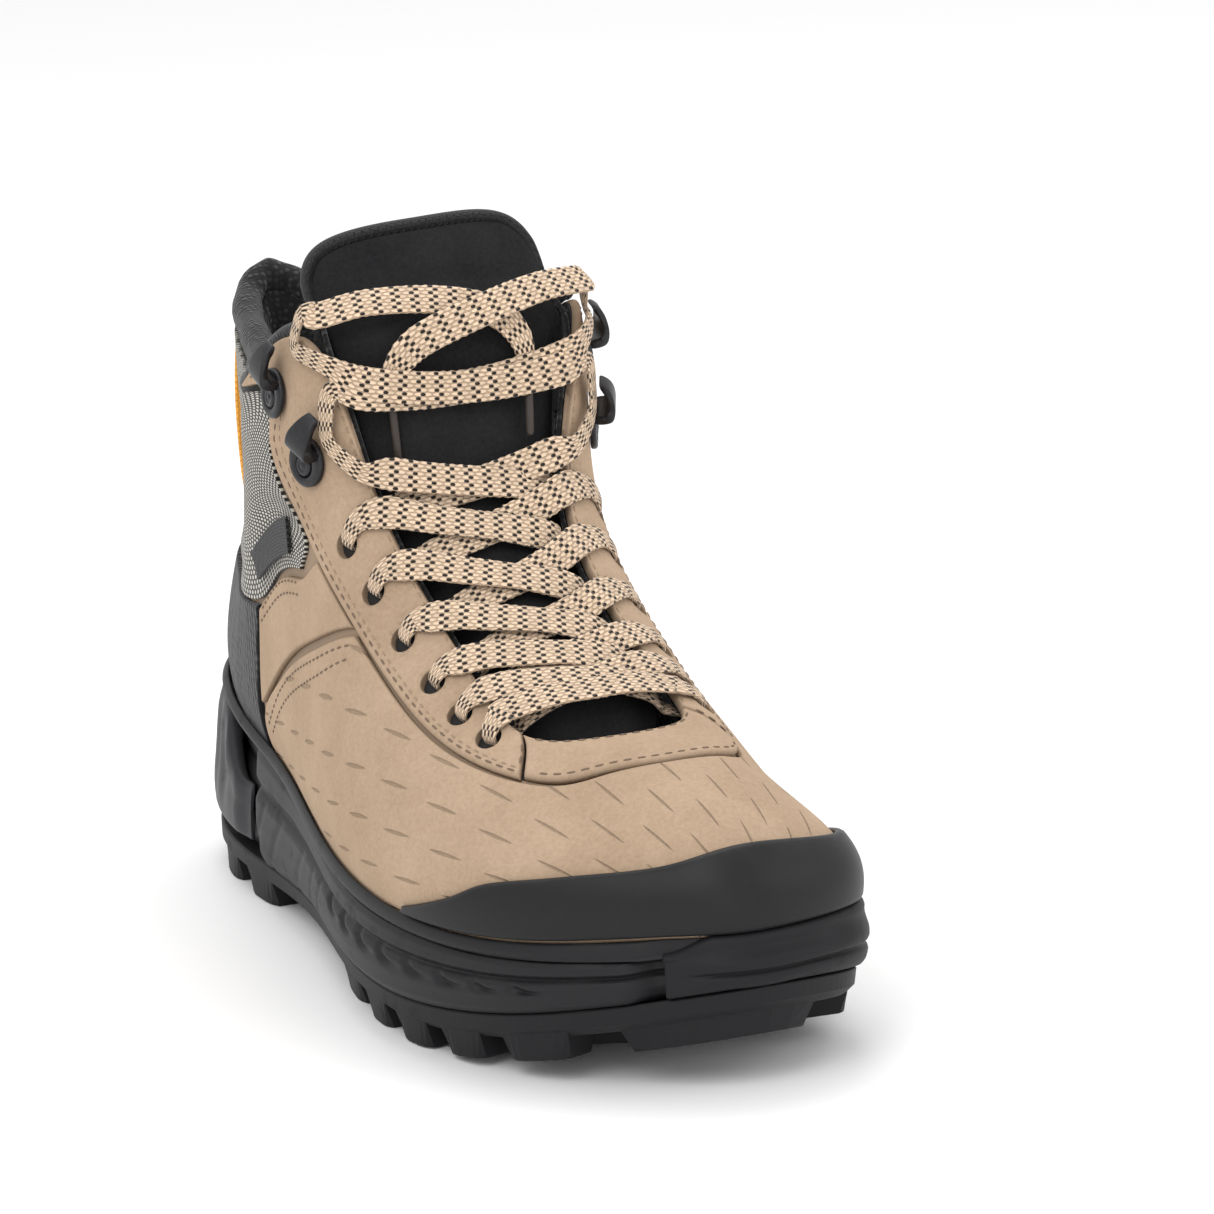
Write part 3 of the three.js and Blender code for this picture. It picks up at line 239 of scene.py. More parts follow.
def bridge(w, s):
    w, s = np.broadcast_arrays(np.asarray(w, float), np.asarray(s, float))
    a, b = skin_point(w, 1.0), skin_point(RING - w, 1.0)
    length = np.linalg.norm(b - a, axis=-1) * mix(1, ARCH_FLAT, smooth(3.2, 6, w))
    k = smooth(2.6, 4.2, w)[..., None]
    across = (b - a) * (1 - k)
    arch = np.stack([np.zeros_like(w), np.zeros_like(w), 0.3 * length], -1) * (1 - k)
    ta = unit(a - skin_point(w, 0.95)) * length[..., None] * k + across + arch
    tb = unit(skin_point(RING - w, 0.95) - b) * length[..., None] * k + across - arch
    t = ((s + 1) / 2)[..., None]
    p = a * (2 * t**3 - 3 * t * t + 1) + ta * (t**3 - 2 * t * t + t)
    p = p + b * (3 * t * t - 2 * t**3) + tb * (t**3 - t * t)
    beside = skin_point(np.where(s < 0, w, RING - w), 1 - (np.abs(s) - 1) * 0.45)
    return np.where((np.abs(s) > 1)[..., None], beside, p)


def instep_point(w, s):
    w, s = np.broadcast_arrays(np.asarray(w, float), np.asarray(s, float))
    base = bridge(np.clip(w, W_LOW, W_TOP), s)
    below = base + (bridge(W_LOW + 0.3, s) - base) * ((w - W_LOW) / 0.3)[..., None]
    climb = (base - bridge(W_TOP - 0.2, s)) * 5
    over = (w - W_TOP)[..., None]
    above = base + mix(climb, RISE, smooth(0, 0.5, over)) * over
    side = skin_point(np.where(s < 0, w, RING - w), 1 - (np.abs(s) - 1) * 0.45)
    above = mix(above, side, smooth(1.05, 1.35, np.abs(s))[..., None])
    w = w[..., None]
    return np.where(w < W_LOW, below, np.where(w > W_TOP, above, base))


def instep_normal(w, s):
    e = 0.04
    dw = instep_point(np.asarray(w) + e, s) - instep_point(np.asarray(w) - e, s)
    ds = instep_point(w, np.asarray(s) + e) - instep_point(w, np.asarray(s) - e)
    return unit(np.cross(ds, dw))


def instep(w, s, h=0.0):
    return instep_point(w, s) + instep_normal(w, s) * np.asarray(h, float)[..., None]


print("throat top", instep(6.5, 0.0).round(1))

# %% [markdown]
# ## Mesh helpers
# Meshes come from bmesh. A sheet body is a closed shell between two offset surfaces with a rounded
# rim. Its UV map is in metres along the surface, and its rim attribute is the distance in
# millimetres to the panel's edge.

# %%


def build(name, verts, faces, material, body=SHELL, uv=None, rim=None, flat=False, replaces=()):
    mesh = bpy.data.meshes.new(name)
    if callable(uv):
        uv = uv(np.asarray(verts, float))
    bm = bmesh.new()
    points = [bm.verts.new(p) for p in place(verts)]
    layer = bm.loops.layers.uv.new("UVMap") if uv is not None else None
    for f in faces:
        if len(set(f)) > 2:
            try:
                face = bm.faces.new([points[i] for i in f])
            except ValueError:
                continue
            face.smooth = not flat
            if layer:
                for loop, i in zip(face.loops, f):
                    loop[layer].uv = uv[i]
    bmesh.ops.recalc_face_normals(bm, faces=bm.faces)
    bm.to_mesh(mesh)
    bm.free()
    if rim is not None:
        data = mesh.attributes.new("rim", "FLOAT", "POINT")
        data.data.foreach_set("value", np.asarray(rim, np.float32))
    obj = bpy.data.objects.new(name, mesh)
    bpy.context.scene.collection.objects.link(obj)
    mesh.materials.append(material)
    if replaces:
        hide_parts(*replaces)
    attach(obj, body)
    return obj


def grid_faces(nu, nv, start=0, wrap=False):
    """Quads of a grid whose points run u-major; nu and nv are cell counts."""
    rows = nu if wrap else nu + 1
    faces = []
    for i in range(nu):
        for j in range(nv):
            a, b = start + i * (nv + 1) + j, start + ((i + 1) % rows) * (nv + 1) + j
            faces.append((a, b, b + 1, a + 1))
    return faces


def samples(n, length, radius):
    """Even steps with close rings near both ends, so that a rim can be rounded."""
    ends = np.array([0, 0.08, 0.3, 0.65, 1.1]) * radius / max(length, 1e-6)
    middle = np.linspace(ends[-1], 1 - ends[-1], n + 1)
    return np.concatenate([ends[:-1], middle, 1 - ends[:-1][::-1]])


def edge_drop(d, radius):
    k = np.clip(1 - d / radius, 0, 1)
    return radius * (1 - np.sqrt(1 - k * k))


def sheet_body(name, at, inner, outer, nx, ny, material, wrap=False, round_to=0.7, open_low=False,
               shape=None, **extra):
    """at(x, y, off) gives points; inner and outer are offsets; shape adds to the outer one."""
    probe = np.linspace(0, 1, 25)
    gx, gy = np.meshgrid(probe, probe, indexing="ij")
    p = at(gx, gy, np.full(gx.shape, outer))
    len_x = np.linalg.norm(np.diff(p, axis=0), axis=-1).sum(0)
    len_y = np.linalg.norm(np.diff(p, axis=1), axis=-1).sum(1)
    xs = np.linspace(0, 1, nx + 1) if wrap else samples(nx, len_x.mean(), round_to)
    ys = samples(ny, len_y.mean(), round_to)
    if wrap:
        xs = xs[:-1]
    x, y = np.meshgrid(xs, ys, indexing="ij")
    ly = np.interp(x, probe, len_y)
    lx = np.interp(y, probe, len_x)
    dy = np.minimum(y, 1 - y) * ly
    dx = np.full(x.shape, 99.0) if wrap else np.minimum(x, 1 - x) * lx
    if open_low:
        dy = (1 - y) * ly
    rim = np.minimum(dx, dy)
    drop = np.minimum(edge_drop(dx, round_to) + edge_drop(dy, round_to), (outer - inner) * 0.7)
    top = np.full(x.shape, outer) - drop
    if shape is not None:
        top = top + shape(x, y, rim)
    outside = at(x, y, top)
    inside = at(x, y, np.full(x.shape, inner))
    nu, nv = len(xs) - (0 if wrap else 1), len(ys) - 1
    count = outside.shape[0] * outside.shape[1]
    verts = np.concatenate([outside.reshape(-1, 3), inside.reshape(-1, 3)])
    faces = grid_faces(nu, nv, 0, wrap) + grid_faces(nu, nv, count, wrap)
    cols = len(ys)
    rows = len(xs)
    span = range(rows if wrap else rows - 1)
    for j in (0, cols - 1):
        for i in span:
            a, b = i * cols + j, ((i + 1) % rows) * cols + j
            faces.append((a, b, b + count, a + count))
    if not wrap:
        for i in (0, rows - 1):
            for j in range(cols - 1):
                a, b = i * cols + j, i * cols + j + 1
                faces.append((a, b, b + count, a + count))
    middle = at(xs, np.full(len(xs), 0.5), np.full(len(xs), outer))
    run = np.concatenate([[0], np.cumsum(np.linalg.norm(np.diff(middle, axis=0), axis=-1))])
    uv = np.stack([np.broadcast_to(run[:, None], x.shape), y * ly], -1).reshape(-1, 2) / 1000
    uv = np.concatenate([uv, uv])
    rim = np.concatenate([rim.reshape(-1), np.zeros(count)])
    return build(name, verts, faces, material, **{"uv": uv, "rim": rim, **extra})


def chaikin(ring, times=2):
    for _ in range(times):
        after = np.roll(ring, -1, axis=-2)
        ring = np.stack([0.75 * ring + 0.25 * after, 0.25 * ring + 0.75 * after], -2)
        ring = ring.reshape(ring.shape[:-3] + (-1, 3))
    return ring


def loft_body(name, rings, material, wrap=False, soften=2, uv=None, **extra):
    """rings: (n, m, 3) closed profiles. Open lofts are closed by drawing the ends to a point."""
    rings = chaikin(np.asarray(rings, float), soften) if soften else np.asarray(rings, float)
    n, m = rings.shape[:2]
    verts = rings.reshape(-1, 3)
    faces = []
    for i in range(n if wrap else n - 1):
        for j in range(m):
            k = (i + 1) % n
            faces.append((i * m + j, i * m + (j + 1) % m, k * m + (j + 1) % m, k * m + j))
    if not wrap:
        for i in (0, n - 1):
            shrunk = []
            for s in (0.6, 0.2):
                shrunk.append(len(verts))
                middle = rings[i].mean(0)
                verts = np.concatenate([verts, middle + (rings[i] - middle) * s])
            start = i * m
            for s0 in shrunk:
                for j in range(m):
                    faces.append((start + j, start + (j + 1) % m, s0 + (j + 1) % m, s0 + j))
                start = s0
            faces.append(tuple(range(start, start + m)))
            if uv is not None:
                uv = np.concatenate([uv, uv[i * m:(i + 1) * m], uv[i * m:(i + 1) * m]])
    return build(name, verts, faces, material, uv=uv, **extra)


def curve(points):
    """Centripetal curve through (u, v) points, as a function of 0..1."""
    p = np.array(points, float) * [1, 10]
    ext = np.concatenate([[2 * p[0] - p[1]], p, [2 * p[-1] - p[-2]]])
    gaps = np.maximum(np.linalg.norm(np.diff(ext, axis=0), axis=1) ** 0.5, 1e-4)

    def at(t):
        s = np.clip(t, 0, 1) * (len(p) - 1)
        i = np.minimum(np.floor(s).astype(int), len(p) - 2)
        f = (s - i)[..., None]
        x0, x1, x2, x3 = (ext[i + k] for k in range(4))
        d0, d1, d2 = (gaps[i + k][..., None] for k in range(3))
        t1 = ((x1 - x0) / d0 - (x2 - x0) / (d0 + d1) + (x2 - x1) / d1) * d1
        t2 = ((x2 - x1) / d1 - (x3 - x1) / (d1 + d2) + (x3 - x2) / d2) * d1
        q = x1 + t1 * f + (-3 * x1 + 3 * x2 - 2 * t1 - t2) * f**2
        q = q + (2 * x1 - 2 * x2 + t1 + t2) * f**3
        return q / [1, 10]

    return lambda t: at(np.asarray(t, float))


def patch(bottom, top, left, right):
    b, t, l, r = (curve(c) for c in (bottom, top, left, right))

    def at(x, y):
        xx, yy = x[..., None], y[..., None]
        q = (1 - yy) * b(x) + yy * t(x) + (1 - xx) * l(y) + xx * r(y)
        q = q - (1 - xx) * (1 - yy) * b(0.0) - xx * (1 - yy) * b(1.0)
        q = q - (1 - xx) * yy * t(0.0) - xx * yy * t(1.0)
        return q[..., 0], q[..., 1]

    return at


def mirrored(points):
    return [(RING - u, v) for u, v in points]


def on_skin(plan):
    return lambda x, y, off: skin(*plan(x, y), off)


def join_shapes(name, shapes, material, **extra):
    """One object from several (verts, faces) lists."""
    verts, faces, base = [], [], 0
    for v, f in shapes:
        verts.append(np.asarray(v, float))
        faces += [tuple(i + base for i in face) for face in f]
        base += len(v)
    return build(name, np.concatenate(verts), faces, material, **extra)


# %% [markdown]
# ## Camera, light and floor
# The camera looks down a little at the toe and the lateral side, through a long lens and with a
# slight roll. The floor and backdrop are pale, the light is broad and soft.

# %%
scene = bpy.context.scene
scene.view_settings.view_transform = "Standard"


def aim(obj, back, roll=0.0):
    obj.rotation_mode = "QUATERNION"
    turn = Matrix.Rotation(math.radians(roll), 3, Vector(back))
    obj.rotation_quaternion = (turn @ (-Vector(back)).to_track_quat("-Z", "Y").to_matrix()).to_quaternion()


azimuth, elevation = math.radians(-19.75), math.radians(13.67)
back = Vector((math.sin(azimuth) * math.cos(elevation), -math.cos(azimuth) * math.cos(elevation),
               math.sin(elevation)))
camera_data = bpy.data.cameras.new("camera")
camera_data.sensor_width = 36
camera_data.lens = 188.4
camera_data.shift_x = 0.1207
camera_data.shift_y = 0.0354
camera_data.clip_end = 20
camera = bpy.data.objects.new("camera", camera_data)
camera.location = Vector(place([0, 0, 80])) + back * 1.6216
aim(camera, back, -3.59)
scene.collection.objects.link(camera)
scene.camera = camera


def plain(name, color, roughness=0.8):
    m = bpy.data.materials.new(name)
    m.use_nodes = True
    p = m.node_tree.nodes["Principled BSDF"]
    p.inputs["Base Color"].default_value = (*color, 1)
    p.inputs["Roughness"].default_value = roughness
    return m


floor_mesh = bpy.data.meshes.new("floor")
bm = bmesh.new()
bmesh.ops.create_grid(bm, x_segments=1, y_segments=1, size=6)
bm.to_mesh(floor_mesh)
bm.free()
floor = bpy.data.objects.new("floor", floor_mesh)
floor_mesh.materials.append(plain("floor_paper", (0.93, 0.93, 0.93)))
scene.collection.objects.link(floor)


def area_light(name, toward, distance, size, power):
    data = bpy.data.lights.new(name, "AREA")
    data.energy, data.size = power, size
    obj = bpy.data.objects.new(name, data)
    obj.location = Vector(place([0, 0, 90])) + Vector(toward).normalized() * distance
    aim(obj, Vector(toward).normalized())
    scene.collection.objects.link(obj)


area_light("key", (-0.75, -0.75, 1.0), 1.5, 0.8, 7)
area_light("fill", (1.0, -0.8, 0.55), 1.6, 1.0, 4)
area_light("top", (0.1, 0.4, 1.2), 1.4, 0.8, 6)
area_light("low_front", (-0.25, -1.0, 0.12), 1.5, 0.7, 1.6)
world = bpy.data.worlds.new("studio")
scene.world = world
world.use_nodes = True
world.node_tree.nodes["Background"].inputs["Color"].default_value = (1, 1, 1, 1)
world.node_tree.nodes["Background"].inputs["Strength"].default_value = 0.95
print("camera at", [round(c, 3) for c in camera.location])

# %% [markdown]
# ## Material effects
# Each effect is one node group that gives colours, masks or heights. The materials below mix them
# and keep the shader itself.

# %%


class Tree:
    """A few words for wiring nodes: every input may be a socket or a value."""

    def __init__(self, tree):
        self.t = tree

    def put(self, socket, value):
        if isinstance(value, bpy.types.NodeSocket):
            self.t.links.new(value, socket)
        elif value is not None:
            socket.default_value = value

    def node(self, kind, *inputs, out=0, **props):
        n = self.t.nodes.new(kind)
        for k, v in props.items():
            setattr(n, k, v)
        for socket, value in zip(n.inputs, inputs):
            self.put(socket, value)
        return n.outputs[out]

    def math(self, op, a, b=None, c=None, clamp=False):
        return self.node("ShaderNodeMath", a, b, c, operation=op, use_clamp=clamp)

    def noise(self, vector, scale, detail=4.0, rough=0.6):
        n = self.t.nodes.new("ShaderNodeTexNoise")
        self.put(n.inputs["Vector"], vector)
        n.inputs["Scale"].default_value = scale
        n.inputs["Detail"].default_value = detail
        n.inputs["Roughness"].default_value = rough
        return n.outputs["Fac"]

    def ramp(self, value, low, high, a=0.0, b=1.0):
        return self.node("ShaderNodeMapRange", value, low, high, a, b, clamp=True)

    def blend(self, fac, a, b):
        n = self.t.nodes.new("ShaderNodeMix")
        n.data_type = "RGBA"
        self.put(n.inputs[0], fac)
        self.put(n.inputs[6], a)
        self.put(n.inputs[7], b)
        return n.outputs[2]


def effect(name, inputs, outputs):
    """A node group with named sockets; returns its tree, its inputs and a function that sets an output."""
    group = bpy.data.node_groups.new(name, "ShaderNodeTree")
    kinds = {"v": "NodeSocketVector", "f": "NodeSocketFloat", "c": "NodeSocketColor"}
    for label, kind, value in inputs:
        s = group.interface.new_socket(label, in_out="INPUT", socket_type=kinds[kind])
        if value is not None:
            s.default_value = value
    for label, kind in outputs:
        group.interface.new_socket(label, in_out="OUTPUT", socket_type=kinds[kind])
    t = Tree(group)
    source = group.nodes.new("NodeGroupInput")
    sink = group.nodes.new("NodeGroupOutput")
    return t, source.outputs, lambda label, value: t.put(sink.inputs[label], value)


# Suede nap: broad brushed patches, fine fibres and their height.
t, i, out = effect("suede_nap", [("Vector", "v", None), ("Light", "c", (0.45, 0.33, 0.23, 1)),
                                 ("Dark", "c", (0.33, 0.235, 0.16, 1))],
                   [("Color", "c"), ("Height", "f")])
broad = t.noise(i["Vector"], 45, 3)
fine = t.noise(i["Vector"], 900, 5, 0.75)
fibre = t.noise(i["Vector"], 3800, 2)
tone = t.math("ADD", t.math("MULTIPLY", broad, 0.45), t.math("MULTIPLY", fine, 0.55))
out("Color", t.blend(t.ramp(tone, 0.36, 0.64), i["Dark"], i["Light"]))
out("Height", t.math("ADD", t.math("MULTIPLY", fine, 0.6), t.math("MULTIPLY", fibre, 0.4)))

# Slits: short embossed dashes in staggered rows over a UV map in metres.
t, i, out = effect("embossed_slits", [("UV", "v", None), ("Pitch", "f", 0.022), ("Row", "f", 0.0078)],
                   [("Mask", "f")])
xyz = t.t.nodes.new("ShaderNodeSeparateXYZ")
t.put(xyz.inputs[0], i["UV"])
row_pos = t.math("DIVIDE", xyz.outputs["X"], i["Row"])
row = t.math("FLOOR", row_pos)
along = t.math("DIVIDE", xyz.outputs["Y"], i["Pitch"])
along = t.math("ADD", along, t.math("MULTIPLY", row, 0.5))
across = t.math("SUBTRACT", t.math("FRACT", row_pos), 0.5)
step = t.math("SUBTRACT", t.math("FRACT", along), 0.5)
lean = t.math("SUBTRACT", across, t.math("MULTIPLY", step, 0.12))
width = t.math("MULTIPLY", t.math("ABSOLUTE", lean), i["Row"])
reach = t.ramp(t.math("ABSOLUTE", step), 0.25, 0.31, 1.0, 0.0)
thin = t.math("ADD", width, t.math("MULTIPLY", t.math("POWER", t.math("ABSOLUTE", step), 2.0), 0.0035))
out("Mask", t.math("MULTIPLY", t.ramp(thin, 0.00012, 0.00042, 1.0, 0.0), reach))

# Stitch grid: rows of grains half a step apart, for weaves and braids.
t, i, out = effect("stitch_grid", [("UV", "v", None), ("Step", "f", 0.0024), ("Pitch", "f", 0.00105),
                                   ("Fill", "f", 0.5)],
                   [("Grain", "f"), ("Fleck", "f"), ("Tone", "f")])
xyz = t.t.nodes.new("ShaderNodeSeparateXYZ")
t.put(xyz.inputs[0], i["UV"])
ypos = t.math("DIVIDE", xyz.outputs["Y"], i["Pitch"])
row = t.math("FLOOR", ypos)
xpos = t.math("ADD", t.math("DIVIDE", xyz.outputs["X"], i["Step"]), t.math("MULTIPLY", row, 0.5))
cell = t.math("FLOOR", xpos)
fx = t.math("SUBTRACT", t.math("FRACT", xpos), 0.5)
fy = t.math("SUBTRACT", t.math("FRACT", ypos), 0.5)
ex, ey = t.math("DIVIDE", fx, i["Fill"]), t.math("DIVIDE", fy, 0.52)
reach = t.math("ADD", t.math("MULTIPLY", ex, ex), t.math("MULTIPLY", ey, ey))
out("Grain", t.ramp(reach, 0.45, 1.0, 1.0, 0.0))
gap = t.math("SUBTRACT", 0.5, t.math("ABSOLUTE", fx))
gx, gy = t.math("DIVIDE", gap, 0.3), t.math("DIVIDE", fy, 0.42)
near = t.math("ADD", t.math("MULTIPLY", gx, gx), t.math("MULTIPLY", gy, gy))
pair = t.math("FLOOR", t.math("ADD", xpos, 0.5))
row_pair = t.math("FLOOR", t.math("MULTIPLY", row, 0.5))
kept = t.math("FRACT", t.math("MULTIPLY", t.math("ADD", pair, row_pair), 0.5))
out("Fleck", t.math("MULTIPLY", t.ramp(near, 0.75, 1.15, 1.0, 0.0), t.ramp(kept, 0.2, 0.3)))
white = t.node("ShaderNodeTexWhiteNoise", t.node("ShaderNodeCombineXYZ", cell, row, 0.0),
               out=0, noise_dimensions="3D")
out("Tone", white)

# Mesh knit: small round cells with dark holes.
t, i, out = effect("mesh_knit", [("Vector", "v", None), ("Scale", "f", 620.0)],
                   [("Thread", "f"), ("Fuzz", "f")])
cells = t.t.nodes.new("ShaderNodeTexVoronoi")
t.put(cells.inputs["Vector"], i["Vector"])
t.put(cells.inputs["Scale"], i["Scale"])
cells.inputs["Randomness"].default_value = 0.35
out("Thread", t.ramp(cells.outputs["Distance"], 0.15, 0.5))
out("Fuzz", t.noise(i["Vector"], 1800, 3))

# Rubber skin: moulded grain, faint scuffs and settled dust on upward faces.
t, i, out = effect("rubber_skin", [("Vector", "v", None)], [("Grain", "f"), ("Scuff", "f"), ("Dust", "f")])
out("Grain", t.noise(i["Vector"], 2600, 3))
out("Scuff", t.ramp(t.noise(i["Vector"], 160, 6, 0.7), 0.56, 0.72))
up = t.t.nodes.new("ShaderNodeSeparateXYZ")
t.put(up.inputs[0], t.node("ShaderNodeTexCoord", out=1))
patches = t.ramp(t.noise(i["Vector"], 70, 4), 0.45, 0.7)
out("Dust", t.math("MULTIPLY", t.ramp(up.outputs["Z"], 0.5, 1.0), patches))

# Edge line: darkens the cut edge of a panel from its rim attribute.
t, i, out = effect("cut_edge", [("Width", "f", 0.9)], [("Mask", "f")])
rim = t.t.nodes.new("ShaderNodeAttribute")
rim.attribute_name = "rim"
out("Mask", t.math("SUBTRACT", 1.0, t.math("DIVIDE", rim.outputs["Fac"], i["Width"], clamp=True)))
print("effects", [g.name for g in bpy.data.node_groups])

# %% [markdown]
# ## Materials

# %%


class Look(Tree):
    """A material with its Principled shader, and shorthand for the effects above."""

    def __init__(self, name, roughness=0.8, metallic=0.0):
        self.m = bpy.data.materials.new(name)
        self.m.use_nodes = True
        super().__init__(self.m.node_tree)
        self.p = self.t.nodes["Principled BSDF"]
        self.set("Roughness", roughness)
        self.set("Metallic", metallic)
        self.coords = self.t.nodes.new("ShaderNodeTexCoord")

    def set(self, label, value):
        self.put(self.p.inputs[label], value)

    @property
    def at(self):
        return self.coords.outputs["Object"]

    @property
    def uv(self):
        return self.coords.outputs["UV"]

    def use(self, name, **inputs):
        n = self.t.nodes.new("ShaderNodeGroup")
        n.node_tree = bpy.data.node_groups[name]
        for k, v in inputs.items():
            self.put(n.inputs[k], v)
        return n.outputs

    def bump(self, height, distance, strength=1.0, under=None):
        n = self.t.nodes.new("ShaderNodeBump")
        n.inputs["Strength"].default_value = strength
        n.inputs["Distance"].default_value = distance
        self.put(n.inputs["Height"], height)
        if under is not None:
            self.put(n.inputs["Normal"], under)
        self.put(self.p.inputs["Normal"], n.outputs["Normal"])
        return n.outputs["Normal"]


def suede(name, light, dark, slits=False):
    k = Look(name, 0.95)
    nap = k.use("suede_nap", Vector=k.at, Light=(*light, 1), Dark=(*dark, 1))
    edge = k.use("cut_edge", Width=0.8)["Mask"]
    color = k.blend(k.math("MULTIPLY", edge, 0.35), nap["Color"], tuple(c * 0.45 for c in dark) + (1,))
    first = None
    if slits:
        mask = k.use("embossed_slits", UV=k.uv)["Mask"]
        color = k.blend(k.math("MULTIPLY", mask, 0.5), color, tuple(c * 0.5 for c in dark) + (1,))
        first = k.bump(k.math("SUBTRACT", 1.0, mask), 0.0006, 0.8)
    k.set("Base Color", color)
    k.set("Sheen Weight", 0.35)
    k.set("Sheen Roughness", 0.6)
    k.set("Sheen Tint", (*light, 1))
    k.set("Specular IOR Level", 0.15)
    k.bump(nap["Height"], 0.00022, 0.7, first)
    return k.m


def rubber(name, color, roughness=0.6, dust=0.1):
    k = Look(name, roughness)
    fx = k.use("rubber_skin", Vector=k.at)
    light = tuple(c * 1.6 + 0.004 for c in color) + (1,)
    base = k.blend(k.math("MULTIPLY", fx["Scuff"], 0.35), (*color, 1), light)
    k.set("Base Color", k.blend(k.math("MULTIPLY", fx["Dust"], dust), base, (0.35, 0.33, 0.3, 1)))
    k.set("Roughness", k.ramp(fx["Scuff"], 0.0, 1.0, roughness - 0.05, roughness + 0.12))
    k.set("Specular IOR Level", 0.22)
    k.bump(fx["Grain"], 0.00008, 0.5)
    return k.m


def knit(name, color, scale=620.0, gap=0.35):
    k = Look(name, 0.95)
    fx = k.use("mesh_knit", Vector=k.at, Scale=scale)
    deep = tuple(c * gap for c in color) + (1,)
    k.set("Base Color", k.blend(fx["Thread"], (*color, 1), deep))
    k.set("Sheen Weight", 0.2)
    k.set("Specular IOR Level", 0.2)
    height = k.math("SUBTRACT", k.math("MULTIPLY", fx["Fuzz"], 0.3), fx["Thread"])
    k.bump(height, 0.0005, 0.8)
    return k.m


def woven(name, ground, thread, step, pitch, fill, fleck=None, flecks=0.0, height=0.0003):
    k = Look(name, 0.9)
    fx = k.use("stitch_grid", UV=k.uv, Step=step, Pitch=pitch, Fill=fill)
    shade = k.blend(fx["Tone"], tuple(c * 0.8 for c in thread) + (1,), (*thread, 1))
    color = k.blend(fx["Grain"], (*ground, 1), shade)
    if fleck is not None:
        color = k.blend(k.math("MULTIPLY", fx["Fleck"], flecks), color, (*fleck, 1))
    k.set("Base Color", color)
    k.set("Sheen Weight", 0.15)
    k.set("Specular IOR Level", 0.25)
    k.bump(fx["Grain"], height, 0.9)
    return k.m


def metal(name, color, roughness):
    k = Look(name, roughness, 0.35)
    wear = k.ramp(k.noise(k.at, 900, 5), 0.55, 0.75)
    k.set("Base Color", k.blend(k.math("MULTIPLY", wear, 0.3), (*color, 1), (0.09, 0.09, 0.1, 1)))
    k.set("Roughness", k.ramp(wear, 0.0, 1.0, roughness, roughness + 0.15))
    k.bump(k.noise(k.at, 3000, 2), 0.00004, 0.4)
    return k.m


TAN_LIGHT, TAN_DARK = (0.43, 0.315, 0.22), (0.32, 0.225, 0.15)
tan_plain = suede("tan_suede", TAN_LIGHT, TAN_DARK)
tan_slit = suede("tan_suede_slit", TAN_LIGHT, TAN_DARK, slits=True)
black_suede = suede("black_suede", (0.019, 0.019, 0.02), (0.008, 0.008, 0.009))
side_cloth = woven("dotted_weave", (0.008, 0.008, 0.008), (0.62, 0.59, 0.52), 0.0021, 0.0013, 0.34)
lace_cloth = woven("lace_plait", (0.42, 0.3, 0.2), (0.74, 0.56, 0.4), 0.0024, 0.00105, 0.52,
                   (0.015, 0.012, 0.01), 1.0, 0.00035)
black_web = woven("black_webbing", (0.006, 0.006, 0.006), (0.03, 0.03, 0.032), 0.0016, 0.0008, 0.5)
orange_web = woven("orange_webbing", (0.62, 0.25, 0.03), (0.9, 0.42, 0.07), 0.0011, 0.0009, 0.5,
                   height=0.00012)
mesh_black = knit("collar_mesh", (0.028, 0.028, 0.03), 560.0)
mesh_lining = knit("lining_knit", (0.05, 0.05, 0.055), 420.0)
heel_cloth = knit("heel_texture", (0.02, 0.02, 0.021), 380.0)
sole_rubber = rubber("sole_rubber", (0.009, 0.009, 0.0105), 0.62, 0.05)
foam_rubber = rubber("midsole_foam", (0.012, 0.012, 0.0135), 0.55, 0.05)
cap_rubber = rubber("cap_rubber", (0.011, 0.011, 0.012), 0.5, 0.04)
cup_rubber = rubber("heel_cup", (0.024, 0.024, 0.027), 0.5, 0.06)
hook_metal = metal("hook_metal", (0.014, 0.014, 0.016), 0.42)
rivet_metal = metal("rivet_metal", (0.02, 0.02, 0.023), 0.36)
thread_tan = plain("thread_tan", (0.3, 0.215, 0.145), 0.85)
thread_dark = plain("thread_dark", (0.16, 0.11, 0.075), 0.85)
thread_black = plain("thread_black", (0.02, 0.02, 0.02), 0.85)
foam_grey = knit("foam_cells", (0.12, 0.12, 0.13), 900.0, 0.6)
board_fibre = rubber("board_fibre", (0.32, 0.29, 0.25), 0.85, 0.0)
shank_steel = metal("shank_steel", (0.3, 0.3, 0.31), 0.35)
tip_plastic = rubber("tip_plastic", (0.05, 0.04, 0.035), 0.35, 0.0)
print("materials", len(bpy.data.materials))

# %% [markdown]
# ## Lace
# One flat lace: a bar over the lowest holes, then criss-cross strands that go down through the
# punched holes and come up under the eyestay, round both hooks, and tuck in at the top. Stops along
# it give station, across position, height, tilt, width and how the flat faces.

# %%
EYELETS, EYELET_FIRST, EYELET_STEP, EYELET_S = 6, 2.9, 0.53, 1.51
HOOKS, HOOK_S = (6.33, 7.05), (1.42, 1.34)
LACE_WIDTH, LACE_THICK = 8.4, 1.3


def eyelet_w(i):
    return EYELET_FIRST + EYELET_STEP * i


